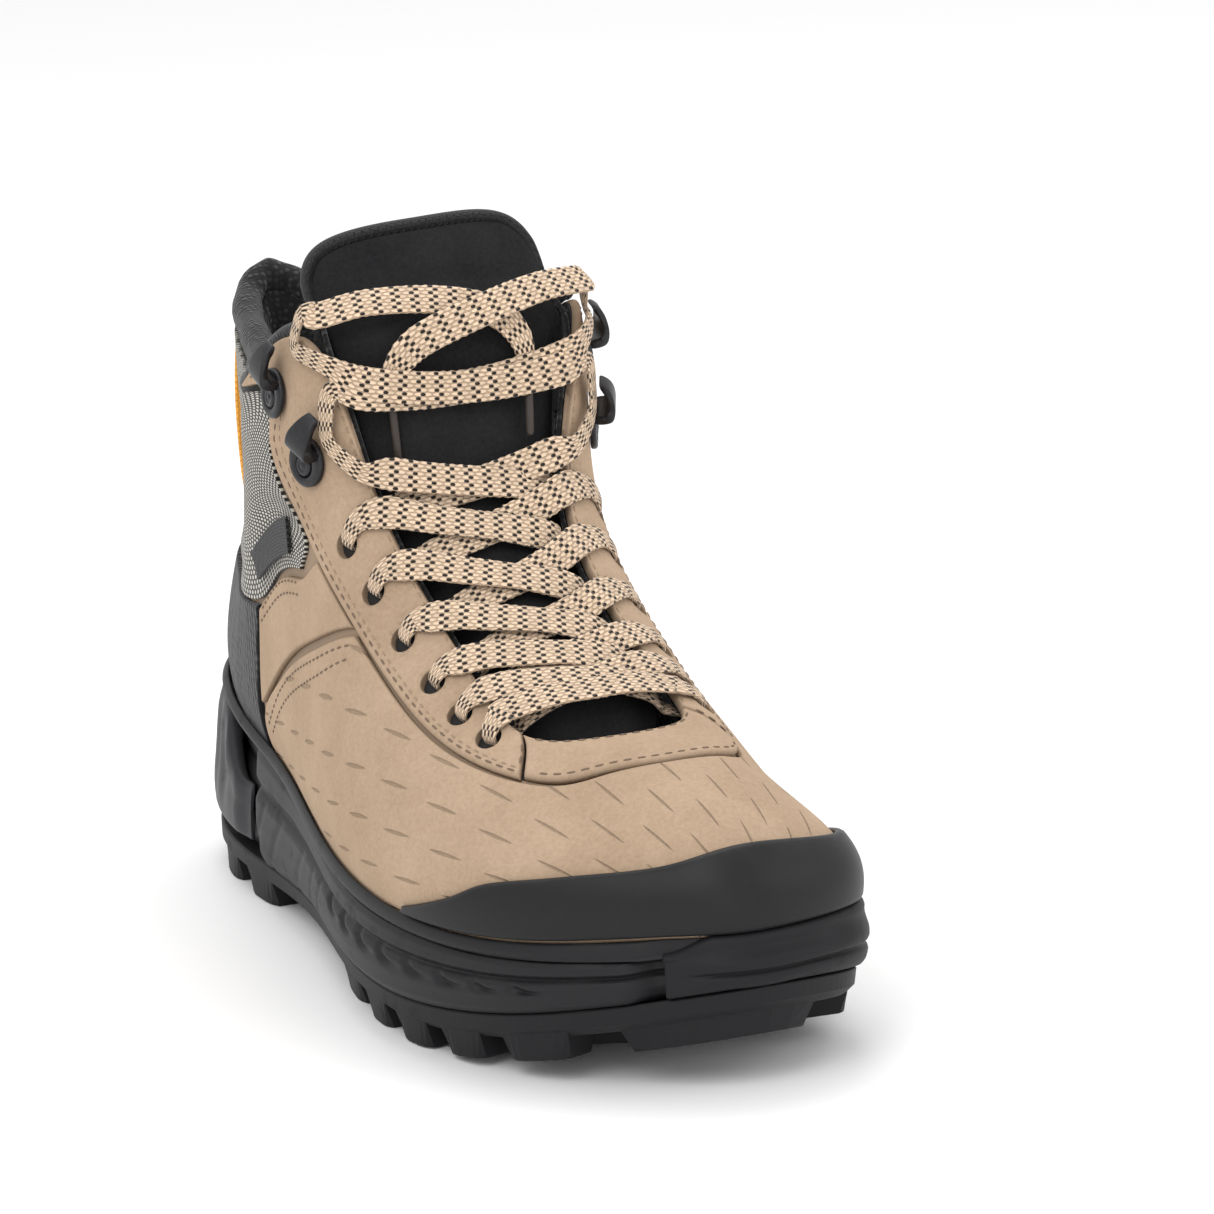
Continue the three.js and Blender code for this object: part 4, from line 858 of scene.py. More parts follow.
def lace_stops(start):
    path = []

    def stop(w, s, h, tilt=0.0, width=LACE_WIDTH, turn=""):
        sag = 0.16 + 0.14 * smooth(2.9, 4.2, w) + 0.3 * smooth(5.5, 7.1, w)
        reach = mix(1.2, 1.45, float(smooth(5.7, 6.1, w)))
        path.append((w - float(sag) * max(0, 1 - (s / reach) ** 2), s, h, tilt, width, turn))

    def dive(i, side):
        w, s = eyelet_w(i), side * EYELET_S
        stop(w - 0.03, side * 1.02, 3.8)
        stop(w, side * 1.3, 3.5, 0, 6.0)
        stop(w, s - side * 0.03, 2.9, 0, 4.2, "turn")
        stop(w, s, 0.5, 0, 3.8, "out")
        stop(w, s - side * 0.03, -1.9, 0, 4.2, "turnback")
        stop(w, side * 1.3, -2.75, 0, 6.2)
        stop(w, side * 1.08, -2.8)
        stop(w + 0.03, side * 0.94, -2.6)

    def height(side, s):
        over = [3.5, 3.3, 3.4, 3.5, 3.2, 2.4, 0.7]
        under = [-0.6, 0.7, 1.2, 1.5, 2.0, 2.6, 3.8]
        return float(np.interp(s, np.linspace(-0.75, 0.75, 7), over if side > 0 else under))

    def strand(w0, w1, side, low_start, low_end):
        for x in np.linspace(-0.75, 0.75, 7):
            s = -x * side
            h = height(side, s)
            ramp = mix(3.4 if side > 0 else 1.3, 5.2, float(smooth(0, 1, abs(x))))
            if (x < 0 and not low_start) or (x > 0 and not low_end):
                h = max(h, ramp)
            shingle = 17 * float(smooth(0, 0.45, s)) * (1 - float(smooth(0.55, 0.95, s)))
            stop(mix(w0, w1, (x + 1) / 2), s, h, shingle if low_start and low_end else 0)

    def hook_turn(i, side):
        w, s, ds = HOOKS[i], side * HOOK_S[i], 0.21 * side
        dw = 0.16 if i else 0.36
        stop(w - dw, s - ds * 2, 5.4, 0, 5.2)
        stop(w - dw * 0.4, s - ds * 1.2, 5.3, 0, 4.2)
        stop(w, s - ds * 0.96, 5.25, 0, 3.7)
        stop(w + dw * 0.4, s - ds * 1.2, 6.3 if i else 5.3, 0, 4.2)
        stop(w + dw, s - ds * 2, 8.4 if i else 5.4, 0, 5.2)

    def tail(side):
        run = [(0.14, 0.85, 8.6), (0.2, 0.5, 7.2), (0.16, 0.1, 7.6), (0.04, -0.25, 6.6),
               (-0.12, -0.42, 4.0), (-0.3, -0.5, 1.5), (-0.42, -0.52, 1.0)]
        if side < 0:
            run = [(0.16, -0.85, 6.0), (0.26, -0.5, 5.2), (0.26, -0.1, 4.8), (0.16, 0.2, 4.2),
                   (0, 0.36, 3.0), (-0.2, 0.44, 2.2), (-0.34, 0.46, 2.3)]
        for k, (dw, s, h) in enumerate(run):
            stop(HOOKS[1] + dw, s, h, 0, LACE_WIDTH if k < 4 else mix(7, 2.4, (k - 4) / 2))

    for x, h in ((0, 3.6), (0.35, 4.0), (0.7, 3.9), (1, 3.5)):
        stop(EYELET_FIRST, start * x, h)
    side = start
    dive(0, side)
    for i in range(EYELETS - 1):
        strand(eyelet_w(i), eyelet_w(i + 1), side, True, True)
        side = -side
        dive(i + 1, side)
    strand(eyelet_w(EYELETS - 1), HOOKS[0] - 0.35, side, True, False)
    side = -side
    hook_turn(0, side)
    strand(HOOKS[0] + 0.35, HOOKS[1] - 0.25, side, False, False)
    side = -side
    hook_turn(1, side)
    tail(side)
    return path


def trace(start):
    """Points, flat normals and widths of one half, from the middle of the lowest bar."""
    rows, sign = [], 1
    for w, s, h, tilt, width, turn in lace_stops(start):
        up = instep_normal(w, s)
        reach = instep_point(w, s + 0.05) - instep_point(w, s - 0.05)
        outward = unit(reach) * (np.sign(s) or 1)
        n = up * sign
        if turn == "turn":
            n = unit(up + outward) * sign
        if turn == "out":
            n = outward * sign
        if turn == "turnback":
            n = unit(outward - up) * sign
            sign = -sign
        if tilt:
            climb = unit(instep_point(w + 0.05, s) - instep_point(w - 0.05, s))
            n = unit(n - climb * sign * math.tan(math.radians(tilt)))
        rows.append([*instep(w, s, h), *n, width])
    return np.array(rows)


lateral_half, medial_half = trace(-1), trace(1)
stops = np.concatenate([lateral_half[:0:-1], medial_half])


def lace_at(t):
    """Catmull-Rom through the stops, t in stops."""
    i = np.minimum(np.floor(t).astype(int), len(stops) - 2)
    f = (t - i)[..., None]
    a, b, c, d = (stops[np.clip(i + k, 0, len(stops) - 1)] for k in (-1, 0, 1, 2))
    return 0.5 * (2 * b + (c - a) * f + (2 * a - 5 * b + 4 * c - d) * f**2
                  + (3 * b - a - 3 * c + d) * f**3)


fine_t = np.linspace(0, len(stops) - 1, 6000)
fine = lace_at(fine_t)
run = np.concatenate([[0], np.cumsum(np.linalg.norm(np.diff(fine[:, :3], axis=0), axis=1))])
LACE_LENGTH = float(run[-1])
count = int(LACE_LENGTH / 1.15)
dist = np.linspace(0, LACE_LENGTH, count)
line = lace_at(np.interp(dist, run, fine_t))
center, ahead = line[:, :3], unit(np.gradient(line[:, :3], axis=0))
normal = line[:, 3:6] - ahead * (line[:, 3:6] * ahead).sum(1, keepdims=True)
normal = unit(normal)
across = np.cross(ahead, normal)
half_width = line[:, 6] / 2
angles = np.arange(24) / 24 * 2 * math.pi
ribs = []
for a in angles:
    c, s = math.cos(a), math.sin(a)
    x = math.copysign(abs(c) ** 0.45, c)
    z = math.copysign(abs(s) ** 0.8, s)
    scallop = 0.16 * np.cos(dist / 2.5 * 2 * math.pi + (math.pi if c < 0 else 0)) * abs(c) ** 6
    ribs.append(center + across * (x * half_width + math.copysign(1, c) * scallop)[:, None]
                + normal * (z * LACE_THICK / 2))
rings = np.stack(ribs, 1)
flat_x = np.array([math.copysign(abs(math.cos(a)) ** 0.45, math.cos(a)) for a in angles])
uv = np.stack([np.broadcast_to(dist[:, None], rings.shape[:2]),
               flat_x[None, :] * half_width[:, None] * (4.2 / half_width[:, None]) + 20
               + np.where(angles < math.pi, 0, 12)[None, :]], -1).reshape(-1, 2) / 1000
lace = loft_body("laced_lace", rings, lace_cloth, soften=0, uv=uv, replaces=["lace"])
print("lace length", round(LACE_LENGTH), "mm, rings", count)


def tube(points, radius, sides=8):
    """(verts, faces) of a closed tube through points; radius may vary along it."""
    p = np.asarray(points, float)
    radius = np.broadcast_to(np.asarray(radius, float), len(p))
    d = unit(np.gradient(p, axis=0))
    ref = np.array([0.0, 0.0, 1.0]) if abs(d[0][2]) < 0.9 else np.array([1.0, 0.0, 0.0])
    a = unit(np.cross(d, ref))
    b = np.cross(d, a)
    ang = np.arange(sides) / sides * 2 * math.pi
    ring = p[:, None] + radius[:, None, None] * (
        a[:, None] * np.cos(ang)[None, :, None] + b[:, None] * np.sin(ang)[None, :, None])
    faces = [(i * sides + j, i * sides + (j + 1) % sides, (i + 1) * sides + (j + 1) % sides,
              (i + 1) * sides + j) for i in range(len(p) - 1) for j in range(sides)]
    faces += [tuple(range(sides)), tuple(range((len(p) - 1) * sides, len(p) * sides))]
    return ring.reshape(-1, 3), faces


for name, last, before in (("medial", center[-1], center[-3]), ("lateral", center[0], center[2])):
    d = unit(last - before)
    steps = np.array([-2.0, -1.9, -1.4, 1.7, 8, 13.6, 14.5, 14.7])
    radii = np.array([0.2, 0.8, 1.05, 1.05, 1.05, 1.0, 0.8, 0.2])
    verts, faces = tube([last + d * s for s in steps], radii, 16)
    build(f"lace_tip_{name}", verts, faces, tip_plastic, replaces=[f"aglet_{name}"])

# %% [markdown]
# ## Upper panels
# Suede vamp with embossed slits, quarters, eyestays with punched holes, dotted side cloth, heel
# panel, backstay and the rubber toe cap.

# %%


def span(u0, u1, low, high):
    def at(x, y):
        u = mix(u0, u1, x)
        return u, mix(low(u, x), high(u, x), y)

    return at


vamp_seam = [[7.28, 0.005], [7.26, 0.2], [6.7, 0.325], [5.6, 0.515], [5.02, 0.635]]
vamp_plan = patch(
    [[7.28, 0.005], [3.6, 0.005], [0, 0.005], [-3.6, 0.005], [-7.28, 0.005]],
    [[5.02, 0.635], [3.4, 0.63], [1.8, 0.64], [0, 0.65], [-1.8, 0.64], [-3.4, 0.63], [-5.02, 0.635]],
    vamp_seam, [[-u, v] for u, v in vamp_seam])


def girth_map(verts):
    """Distance round the foot and along it, so that the slits run lengthwise."""
    middle = np.interp(verts[:, 1], [-150, -90, -30, 40], [16, 9, 2, 2])
    around = np.arctan2(verts[:, 2] - 26, verts[:, 0] - middle) * 46
    return np.stack([around, verts[:, 1] * 1.15 + verts[:, 2] * 0.3], 1) / 1000


sheet_body("vamp_suede", on_skin(vamp_plan), 0.2, 1.8, 200, 60, tan_slit, uv=girth_map,
           replaces=["vamp"])


# A thin backing closes the seams between the panels: tan below, black inside the cuff.
HIDE_TOP = 0.66


def hide_band(low, high):
    return lambda x, y, off: skin(x * RING, mix(low, high, y), off)


sheet_body("inner_hide", hide_band(0.008, HIDE_TOP), -0.3, 0.12, 240, 50, thread_tan, wrap=True,
           round_to=0.2)
sheet_body("inner_cuff", hide_band(HIDE_TOP, 0.985), -0.3, 0.12, 240, 30, thread_black, wrap=True,
           round_to=0.2)

quarter_sides = [
    [[5.09, 0.643], [5.68, 0.523], [6.78, 0.335], [7.35, 0.21]],
    [[5.95, 0.64], [6.25, 0.56], [6.8, 0.5], [7.4, 0.415]],
    [[5.09, 0.643], [5.95, 0.64]],
    [[7.35, 0.21], [7.4, 0.415]],
]
weave_sides = [
    [[6.32, 0.568], [6.86, 0.508], [7.45, 0.432], [9, 0.44], [10.4, 0.45]],
    [[7.98, 0.965], [9, 0.965], [10.4, 0.965]],
    [[6.32, 0.568], [6.28, 0.63], [6.85, 0.64], [7.17, 0.7], [7.22, 0.77], [7.98, 0.965]],
    [[10.4, 0.45], [10.4, 0.965]],
]
facing_sides = [
    [[2.35, 0.65], [3.6, 0.645], [5.2, 0.65], [6.1, 0.652], [6.8, 0.665], [7.08, 0.71], [7.14, 0.78],
     [7.88, 0.965]],
    [[2.35, 1], [3.4, 1], [4.4, 1], [5.4, 1], [6.4, 1], [7, 0.99], [7.6, 0.985], [7.95, 0.99]],
    [[2.35, 0.65], [2.35, 1]],
    [[7.88, 0.965], [7.95, 0.99]],
]


def same(points):
    return points


def punch(obj, sign):
    """Cuts the lace holes straight through along the instep's normal."""
    bm = bmesh.new()
    for k in range(EYELETS):
        w = eyelet_w(k)
        n, p = instep_normal(w, sign * EYELET_S), instep_point(w, sign * EYELET_S)
        turn = Vector(n).to_track_quat("Z", "Y").to_matrix().to_4x4()
        spot = Matrix.Translation(Vector(place(p))) @ turn
        bmesh.ops.create_cone(bm, cap_ends=True, segments=28, radius1=0.0034, radius2=0.0034,
                              depth=0.012, matrix=spot)
    mesh = bpy.data.meshes.new("punches")
    bm.to_mesh(mesh)
    bm.free()
    cutter = bpy.data.objects.new("punches", mesh)
    scene.collection.objects.link(cutter)
    cut = obj.modifiers.new("holes", "BOOLEAN")
    cut.operation, cut.object, cut.solver = "DIFFERENCE", cutter, "EXACT"
    bpy.context.view_layer.update()
    shaped = bpy.data.meshes.new_from_object(obj.evaluated_get(bpy.context.evaluated_depsgraph_get()))
    obj.modifiers.clear()
    obj.data = shaped
    bpy.data.objects.remove(cutter)
    return obj


for side, flip, sign in (("lateral", same, -1), ("medial", mirrored, 1)):
    quarter = patch(*(flip(p) for p in quarter_sides))
    sheet_body(f"quarter_suede_{side}", on_skin(quarter), 0.2, 1.75, 40, 20, tan_plain,
               replaces=[f"quarter_{side}"])
    weave = patch(*(flip(p) for p in weave_sides))
    sheet_body(f"side_cloth_{side}", on_skin(weave), 0.2, 1.3, 90, 50, side_cloth, round_to=0.4,
               replaces=[f"side_weave_{side}"])
    facing = patch(*(flip(p) for p in facing_sides))
    body = sheet_body(f"eyestay_{side}", on_skin(facing), 0.2, 2.45, 120, 26, tan_plain,
                      round_to=0.9, replaces=[f"facing_{side}"])
    punch(body, sign)

    def edge_strip(x, y, off, sign=sign):
        w = mix(2.75, 7.05, x)
        return instep(w, sign * mix(1.015, 0.93, y), off)

    sheet_body(f"eyestay_edging_{side}", edge_strip, -1.1, -0.1, 120, 4, mesh_black, round_to=0.5)

sheet_body("throat_suede", on_skin(span(-2.3, 2.3, lambda u, x: 0.66, lambda u, x: 1.0)), 0.2, 2.45,
           80, 22, tan_plain, round_to=0.9, replaces=["throat_tab"])
sheet_body("heel_cloth_panel", on_skin(span(7.46, 14.54, lambda u, x: 0.005, lambda u, x: 0.42)),
           0.2, 1.7, 110, 24, heel_cloth, replaces=["heel_panel"])
sheet_body("backstay_web", on_skin(span(10.45, 11.55, lambda u, x: 0.43, lambda u, x: 0.965)),
           0.2, 1.7, 16, 40, black_web, replaces=["backstay"])
cap_top = curve([[3.6, 0.1], [2.9, 0.205], [2.45, 0.275], [1.8, 0.3], [0.9, 0.3], [0, 0.32],
                 [-0.9, 0.31], [-1.8, 0.3], [-2.5, 0.26], [-3.1, 0.19], [-3.8, 0.1]])


def cap_plan(x, y):
    q = cap_top(x)
    return q[..., 0], mix(0.079, np.maximum(q[..., 1], 0.094), y)


sheet_body("toe_cap_rubber", on_skin(cap_plan), 2.2, 4.1, 130, 26, cap_rubber, round_to=1.6,
           replaces=["toe_cap"])
print("upper panels done")

# %% [markdown]
# ## Sole unit
# The midsole side has a rounded rim groove, a row of comma-shaped dimples and a swelling belly. The
# toe bumper and the fluted heel cup wrap over it, and the lugs stand below the plate.

# %%
BUMPER, STAB = (-2.55, 1.0), (7.95, 14.05)


def within(x, a, b):
    return smooth(a - 0.4, a - 0.08, x) * (1 - smooth(b + 0.08, b + 0.4, x))


def recess(u):
    r = np.where(u > 11, u - RING, u)
    return 5.2 * within(r, *BUMPER) + 4.4 * within(u, *STAB)


LEVELS = np.array([0, 0.06, 0.12, 0.35, 0.56, 0.61, 0.66, 0.7, 0.76, 0.92, 1])
OFFSETS = np.array([-1.8, -0.7, 0, 0.9, 0.9, 0.2, -1.0, -0.4, 0.45, 0.2, -0.6])


def side_profile(u, f):
    """Offset of the midsole side, with its dimples and creases."""
    r = np.where(u > 11, RING - u, u)
    off = np.interp(f, LEVELS, OFFSETS)
    for k in range(8):
        at_u, at_f = 2.25 + 0.42 * k, 0.44 + 0.012 * k
        du, df = (r - at_u) * 17, (f - at_f) * 20
        a, b = du * 0.8 + df * 0.6, df * 0.8 - du * 0.6
        bend = b - 0.16 * a * a
        off = off - 1.5 * np.exp(-((a / 2.6) ** 2) - ((bend / 0.95) ** 2))
    for k in range(5):
        crest = 0.3 + 0.16 * np.sin(r * 1.5 + k)
        off = off - 0.35 * np.exp(-(((r - 5.7 - 0.45 * k + (f - crest) * 0.8) / 0.05) ** 2)) * (f < 0.6)
    return off - recess(u)


def capped_stack(name, ring_points, material, **extra):
    """Closed body from rings of shape (levels, n, 3), its ends bridged straight across."""
    levels, n = ring_points.shape[:2]
    faces = []
    for k in range(levels - 1):
        for i in range(n):
            j = (i + 1) % n
            faces.append((k * n + i, k * n + j, (k + 1) * n + j, (k + 1) * n + i))
    for base in (0, (levels - 1) * n):
        for i in range(n // 2):
            faces.append((base + i, base + i + 1, base + (n - i - 1) % n, base + (n - i) % n))
    return build(name, ring_points.reshape(-1, 3), faces, material, **extra)


us = np.arange(880) / 880 * RING
fs = np.concatenate([np.linspace(0, 0.12, 6), np.linspace(0.15, 1, 48)])
fu, ff = np.meshgrid(us, fs)
capped_stack("midsole_body", wall(fu, ff, side_profile(fu, ff)), foam_rubber, replaces=["midsole"])

rim_u = np.linspace(BUMPER[1] - 0.9, RING + BUMPER[0] + 0.9, 440)
sunk = 1.5 * np.maximum(1 - smooth(0, 0.25, rim_u - BUMPER[1]), smooth(-0.25, 0, rim_u - RING - BUMPER[0]))
low, outer = skin(rim_u, 0.0, 2.1), wall(rim_u, 1.0, -0.6 - sunk)
foot_z = (wall_top(rim_u) + GAP)[:, None]
rim_rings = np.stack([
    np.concatenate([low[:, :2], foot_z], 1), skin(rim_u, 0.068, 2.1), skin(rim_u, 0.066, 3.4 - sunk * 0.5),
    skin(rim_u, 0.035, 4.8 - sunk), mix(skin(rim_u, 0.02, 4.6 - sunk), outer, 0.25),
    np.concatenate([outer[:, :2], foot_z], 1)], 1)
loft_body("rim_band_rubber", rim_rings, foam_rubber, replaces=["rim_band"])

bt = np.linspace(0, 1, 150)
bu = mix(BUMPER[1], BUMPER[0], bt)
bend = smooth(0, 0.16, bt) * (1 - smooth(0.84, 1, bt))
tip_top = mix(0.012, 0.066, bend)
wt = (wall_top(bu) + GAP)[:, None]
swell_b = 0.5 * np.sin(bt * math.pi)
dip = 1.0 * np.exp(-(((bt - 0.5) / 0.05) ** 2))


def flat_z(p, z):
    return np.concatenate([p[..., :2], z], -1)


bumper_rings = np.stack([
    wall(bu, 0.0, -5.4), wall(bu, 0.0, -0.9), wall(bu, 0.1, 0.3), wall(bu, 0.22, 0.9 * bend),
    wall(bu, 0.4, 1.3 * bend), wall(bu, 0.5, 0.3 * bend), wall(bu, 0.56, 0.1 * bend),
    wall(bu, 0.64, (1.3 + swell_b) * bend), wall(bu, 0.85, (1.4 + swell_b) * bend),
    wall(bu, 0.98, (1.0 + swell_b - dip) * bend), skin(bu, tip_top * 0.6, 5.2 - dip * 0.5),
    skin(bu, tip_top, 4.9), skin(bu, tip_top + 0.011, 3.6), skin(bu, tip_top + 0.011, 2.2),
    flat_z(skin(bu, 0.0, 2.3), wt), flat_z(wall(bu, 1.0, -3.9), wt), wall(bu, 1.0, -3.9),
    wall(bu, 0.6, -2.9), wall(bu, 0.2, -3.2)], 1)
loft_body("toe_bumper_rubber", bumper_rings, sole_rubber, soften=1, replaces=["toe_bumper"])

st = np.linspace(0, 1, 520)
su = mix(*STAB, st)
wave = 0.55 + 0.42 * smooth(0.02, 0.14, st) * (1 - smooth(0.86, 0.98, st))
flute = 0.55 * np.cos(st * math.pi * 26) * smooth(0.05, 0.14, st) * (1 - smooth(0.86, 0.95, st))
crest = 0.9 * (np.exp(-(((st - 0.1) / 0.035) ** 2)) + np.exp(-(((st - 0.9) / 0.035) ** 2)))
inner_top = np.where((wave < 0.8)[:, None], wall(su, wave * 0.75, -2.3), wall(su, 0.72, -2.7))
tip = smooth(0, 0.05, st) * (1 - smooth(0.95, 1, st))
cup_rings = np.stack([
    wall(su, 0.1, -3.1), wall(su, 0.1, mix(-1.9, -0.6, tip)), wall(su, 0.16, mix(-1.7, 0.3, tip)),
    wall(su, 0.3, mix(-1.5, 0.8 + flute * 0.5, tip)),
    wall(su, mix(0.3, wave * 0.75, 0.5), mix(-1.5, 0.6 + flute, tip)),
    wall(su, wave * 0.75, mix(-1.5, 0.9 + flute + crest, tip)),
    wall(su, wave * 0.88, mix(-1.6, 1.0 + flute * 0.8 + crest, tip)),
    wall(su, wave, mix(-1.9, 0.5 + crest * 0.5, tip)),
    wall(su, wave, -3.0), inner_top, wall(su, 0.3, -2.2)], 1)
loft_body("heel_cup", cup_rings, cup_rubber, soften=1, replaces=["heel_stabiliser"])


def block(bottom, top, bevel=0.7):
    """(verts, faces) of a block between two equal loops, its lower edges bevelled."""
    m = len(bottom)
    middle = bottom.mean(0)
    tight = middle + (bottom - middle) * (1 - bevel / np.linalg.norm(bottom - middle, axis=1))[:, None]
    up = np.array([0, 0, bevel])
    loops = [top, bottom + up, bottom * 0.7 + tight * 0.3 + up * 0.3, tight]
    faces = [(k * m + j, k * m + (j + 1) % m, (k + 1) * m + (j + 1) % m, (k + 1) * m + j)
             for k in range(3) for j in range(m)]
    return np.concatenate(loops), faces + [tuple(range(m)), tuple(range(3 * m, 4 * m))]


def lug(u0, u1, out, inn, lean=1.2):
    t = np.linspace(0, 1, 9)
    s = mix(0.05, 0.95, t)
    u_top, u_low = mix(u0, u1, t), mix(u0, u1, s)
    cut = 1.6 * (np.abs(t - 0.5) * 2) ** 4
    top = np.concatenate([sole(u_top, PLATE_TOP - 4.0, out), sole(u_top[::-1], PLATE_TOP - 4.0, inn)])
    low = np.concatenate([sole(u_low, 0.0, out - lean - cut), sole(u_low[::-1], 0.0, inn + lean)])
    return block(low, top)


lugs = []
for u, wide in zip([1.9, 2.85, 3.55, 4.25, 4.95, 7.6, 8.5, 9.4], [0.7, 0.5, 0.5, 0.5, 0.6, 0.62, 0.62, 0.8]):
    lugs.append(lug(u, u + wide, -3, -17))
    lugs.append(lug(RING - u - wide, RING - u, -3, -17))
lugs += [lug(-0.7, 1.5, -4, -15), lug(10.45, 11.55, -3, -15)]
for y in (-108, -86, -64, -42, 62, 88):
    x, wide = (7, 24) if y < 0 else (1, 13)
    for half in (-1, 1):
        flat = np.array([[0, -4], [half * wide, 7], [half * wide, 15], [0, 4]], float) + [x, y]
        low = np.concatenate([flat, np.full((4, 1), spring(y))], 1)
        lugs.append(block(low, low + [0, 0, PLATE_TOP - 4]))
plate_u = np.arange(240) / 240 * RING
plate = np.stack([sole(plate_u, z, off) for z, off in (
    (LUG_DEPTH, -5.2), (LUG_DEPTH + 0.4, -4.4), (LUG_DEPTH + 2.0, -2.5), (PLATE_TOP - 0.6, -1.9),
    (PLATE_TOP, -2.4))])
levels, n = plate.shape[:2]
plate_faces = [(k * n + i, k * n + (i + 1) % n, (k + 1) * n + (i + 1) % n, (k + 1) * n + i)
               for k in range(levels - 1) for i in range(n)]
for base in (0, (levels - 1) * n):
    plate_faces += [(base + i, base + i + 1, base + (n - i - 1) % n, base + (n - i) % n)
                    for i in range(n // 2)]
tread = join_shapes("tread", [(plate.reshape(-1, 3), plate_faces)] + lugs, sole_rubber,
                    replaces=["outsole"])
for poly in tread.data.polygons:
    poly.use_smooth = poly.area < 4e-6 and abs(poly.normal.z) < 0.9
print("sole unit done,", len(lugs), "lugs")

# %% [markdown]
# ## Lining, footbed and padded collar

# %%


def lining_at(x, y, off):
    u = x * RING
    top = 0.7 - 0.02 * np.cos(2 * math.pi * u / RING)
    return skin(u, mix(0.004, top, y), off)


sheet_body("lining_sleeve", lining_at, -3.4, -2.4, 160, 30, mesh_lining, wrap=True, round_to=0.4,
           replaces=["bootie_lining"])


def inset(u, off):
    p = skin_point(u, 0.0)
    n = skin_normal(u, 0.1) * SIDE
    n[..., 2] = 0
    return p + unit(n) * off


fu = np.arange(176) / 176 * RING


def foot_layer(name, off, heights, pull, material, replaces):
    rings = np.stack([inset(fu, off + p) + [0, 0, z] for z, p in zip(heights, pull)])
    pad = capped_stack(name, rings, material, body=FOOTBED, replaces=replaces)
    return pad


foot_layer("footbed_pad", -8.5, (1.5, 2.0, 5.8, 6.2), (-0.5, 0, 0, -0.5), foam_grey, ["footbed_foam"])
foot_layer("footbed_top", -8.5, (6.5, 6.8, 7.3, 7.6), (-0.4, 0, -0.1, -0.9), mesh_black,
           ["footbed_cover"])


def collar_at(x, y, off):
    u = mix(7.7, 14.3, x)
    fat = 3.3 * np.sin(math.pi * np.clip(y, 0, 1)) ** 0.6 * smooth(0, 0.12, x) * (1 - smooth(0.88, 1, x))
    fat = fat * (1 - 0.95 * np.exp(-(((u - 11) / 0.9) ** 2)))
    return skin(u, mix(0.73, 0.975, y), off - fat)


cuff_lining = sheet_body("collar_cloth", collar_at, -5.3, -4.15, 160, 34, mesh_black, round_to=0.5,
                         replaces=["collar_lining"])


def cuff_foam(x, y, off):
    """The foam fills from just inside the skin to the lining."""
    return np.where((off > -2)[..., None], skin(mix(7.7, 14.3, x), mix(0.73, 0.975, y), -1.2),
                    collar_at(x, y, np.full(x.shape, -2.9)))


sheet_body("collar_pad", cuff_foam, -2.9, -1.2, 80, 16, foam_grey, round_to=0.4,
                     replaces=["collar_foam"])
rt = np.linspace(0, 1, 260)
ru = mix(7.08, 14.92, rt)
fat = smooth(0, 0.1, rt) * (1 - smooth(0.9, 1, rt))
edge_p = skin(ru, 1.0)
edge_up = unit(edge_p - skin(ru, 0.95))
edge_out = skin_normal(ru, 0.98) * SIDE
puff = 1 + 0.05 * np.sin(rt * 90) * fat
mid_line = edge_p + edge_up * mix(1.6, 1.9, fat)[:, None] + edge_out * mix(0.6, -2.6, fat)[:, None]
roll = []
for k in range(20):
    a = 2 * math.pi * k / 20
    roll.append(mid_line + edge_up * (math.cos(a) * mix(2.2, 4.4, fat) * puff)[:, None]
                + edge_out * (math.sin(a) * mix(1.7, 4.0, fat) * puff)[:, None])
cuff = loft_body("collar_edge", np.stack(roll, 1), mesh_black, soften=0, replaces=["collar_roll"])

for name, material in (("shank", shank_steel), ("lasting_board", board_fibre), ("toe_puff", board_fibre),
                       ("heel_counter", board_fibre), ("facing_backing_lateral", black_web),
                       ("facing_backing_medial", black_web)):
    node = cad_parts[name]
    node.data.materials.clear()
    node.data.materials.append(material)
print("lining, footbed and collar done")

# %% [markdown]
# ## Tongue
# A padded tongue with a suede face, a knit lining and a stitched binding round its top.

# %%
tongue_plan = patch(
    [[0.5, -0.7], [0.35, 0], [0.5, 0.75]],
    [[7.24, -0.93], [7.36, -0.7], [7.4, 0], [7.42, 0.6], [7.3, 0.83]],
    [[0.5, -0.7], [1.5, -0.74], [2.4, -0.84], [3, -1.04], [3.6, -1.2], [5, -1.2], [6, -1.14],
     [6.6, -1.06], [7, -1.02], [7.24, -0.93]],
    [[0.5, 0.75], [1.5, 0.78], [2.4, 0.86], [3, 1.04], [3.6, 1.2], [5, 1.2], [6, 1.14],
     [6.6, 1.02], [7.06, 0.94], [7.3, 0.83]])


def tongue_top(s, w):
    a = np.abs(s)
    side = 3.6 * smooth(0.4, 0.94, a) * (1 - smooth(6.5, 7.0, w))
    return -0.8 - side - 7 * smooth(3.2, 2.2, w)


def tongue_at(x, y, off):
    w, s = tongue_plan(x, y)
    return instep(w, s, tongue_top(s, w) + off)


def tongue_relief(x, y, rim):
    """A crowned face that sinks to the binding, with a faint oval panel pressed in."""
    oval = np.hypot((x - 0.55) / 0.26, (y - 0.74) / 0.055)
    ring = 0.35 * np.exp(-(((oval - 1) / 0.09) ** 2))
    return -0.5 * np.exp(-rim / 2.5) - ring


tongue_parts = [
    sheet_body("tongue_suede", tongue_at, -1.1, 0.0, 60, 170, black_suede, body=TONGUE,
               shape=tongue_relief, round_to=0.5, replaces=["tongue_face"]),
    sheet_body("tongue_pad", tongue_at, -5.4, -1.4, 24, 60, foam_grey, body=TONGUE, round_to=1.2,
               replaces=["tongue_foam"]),
    sheet_body("tongue_knit", tongue_at, -6.7, -5.8, 24, 80, mesh_black, body=TONGUE, round_to=0.4,
               replaces=["tongue_lining"]),
]

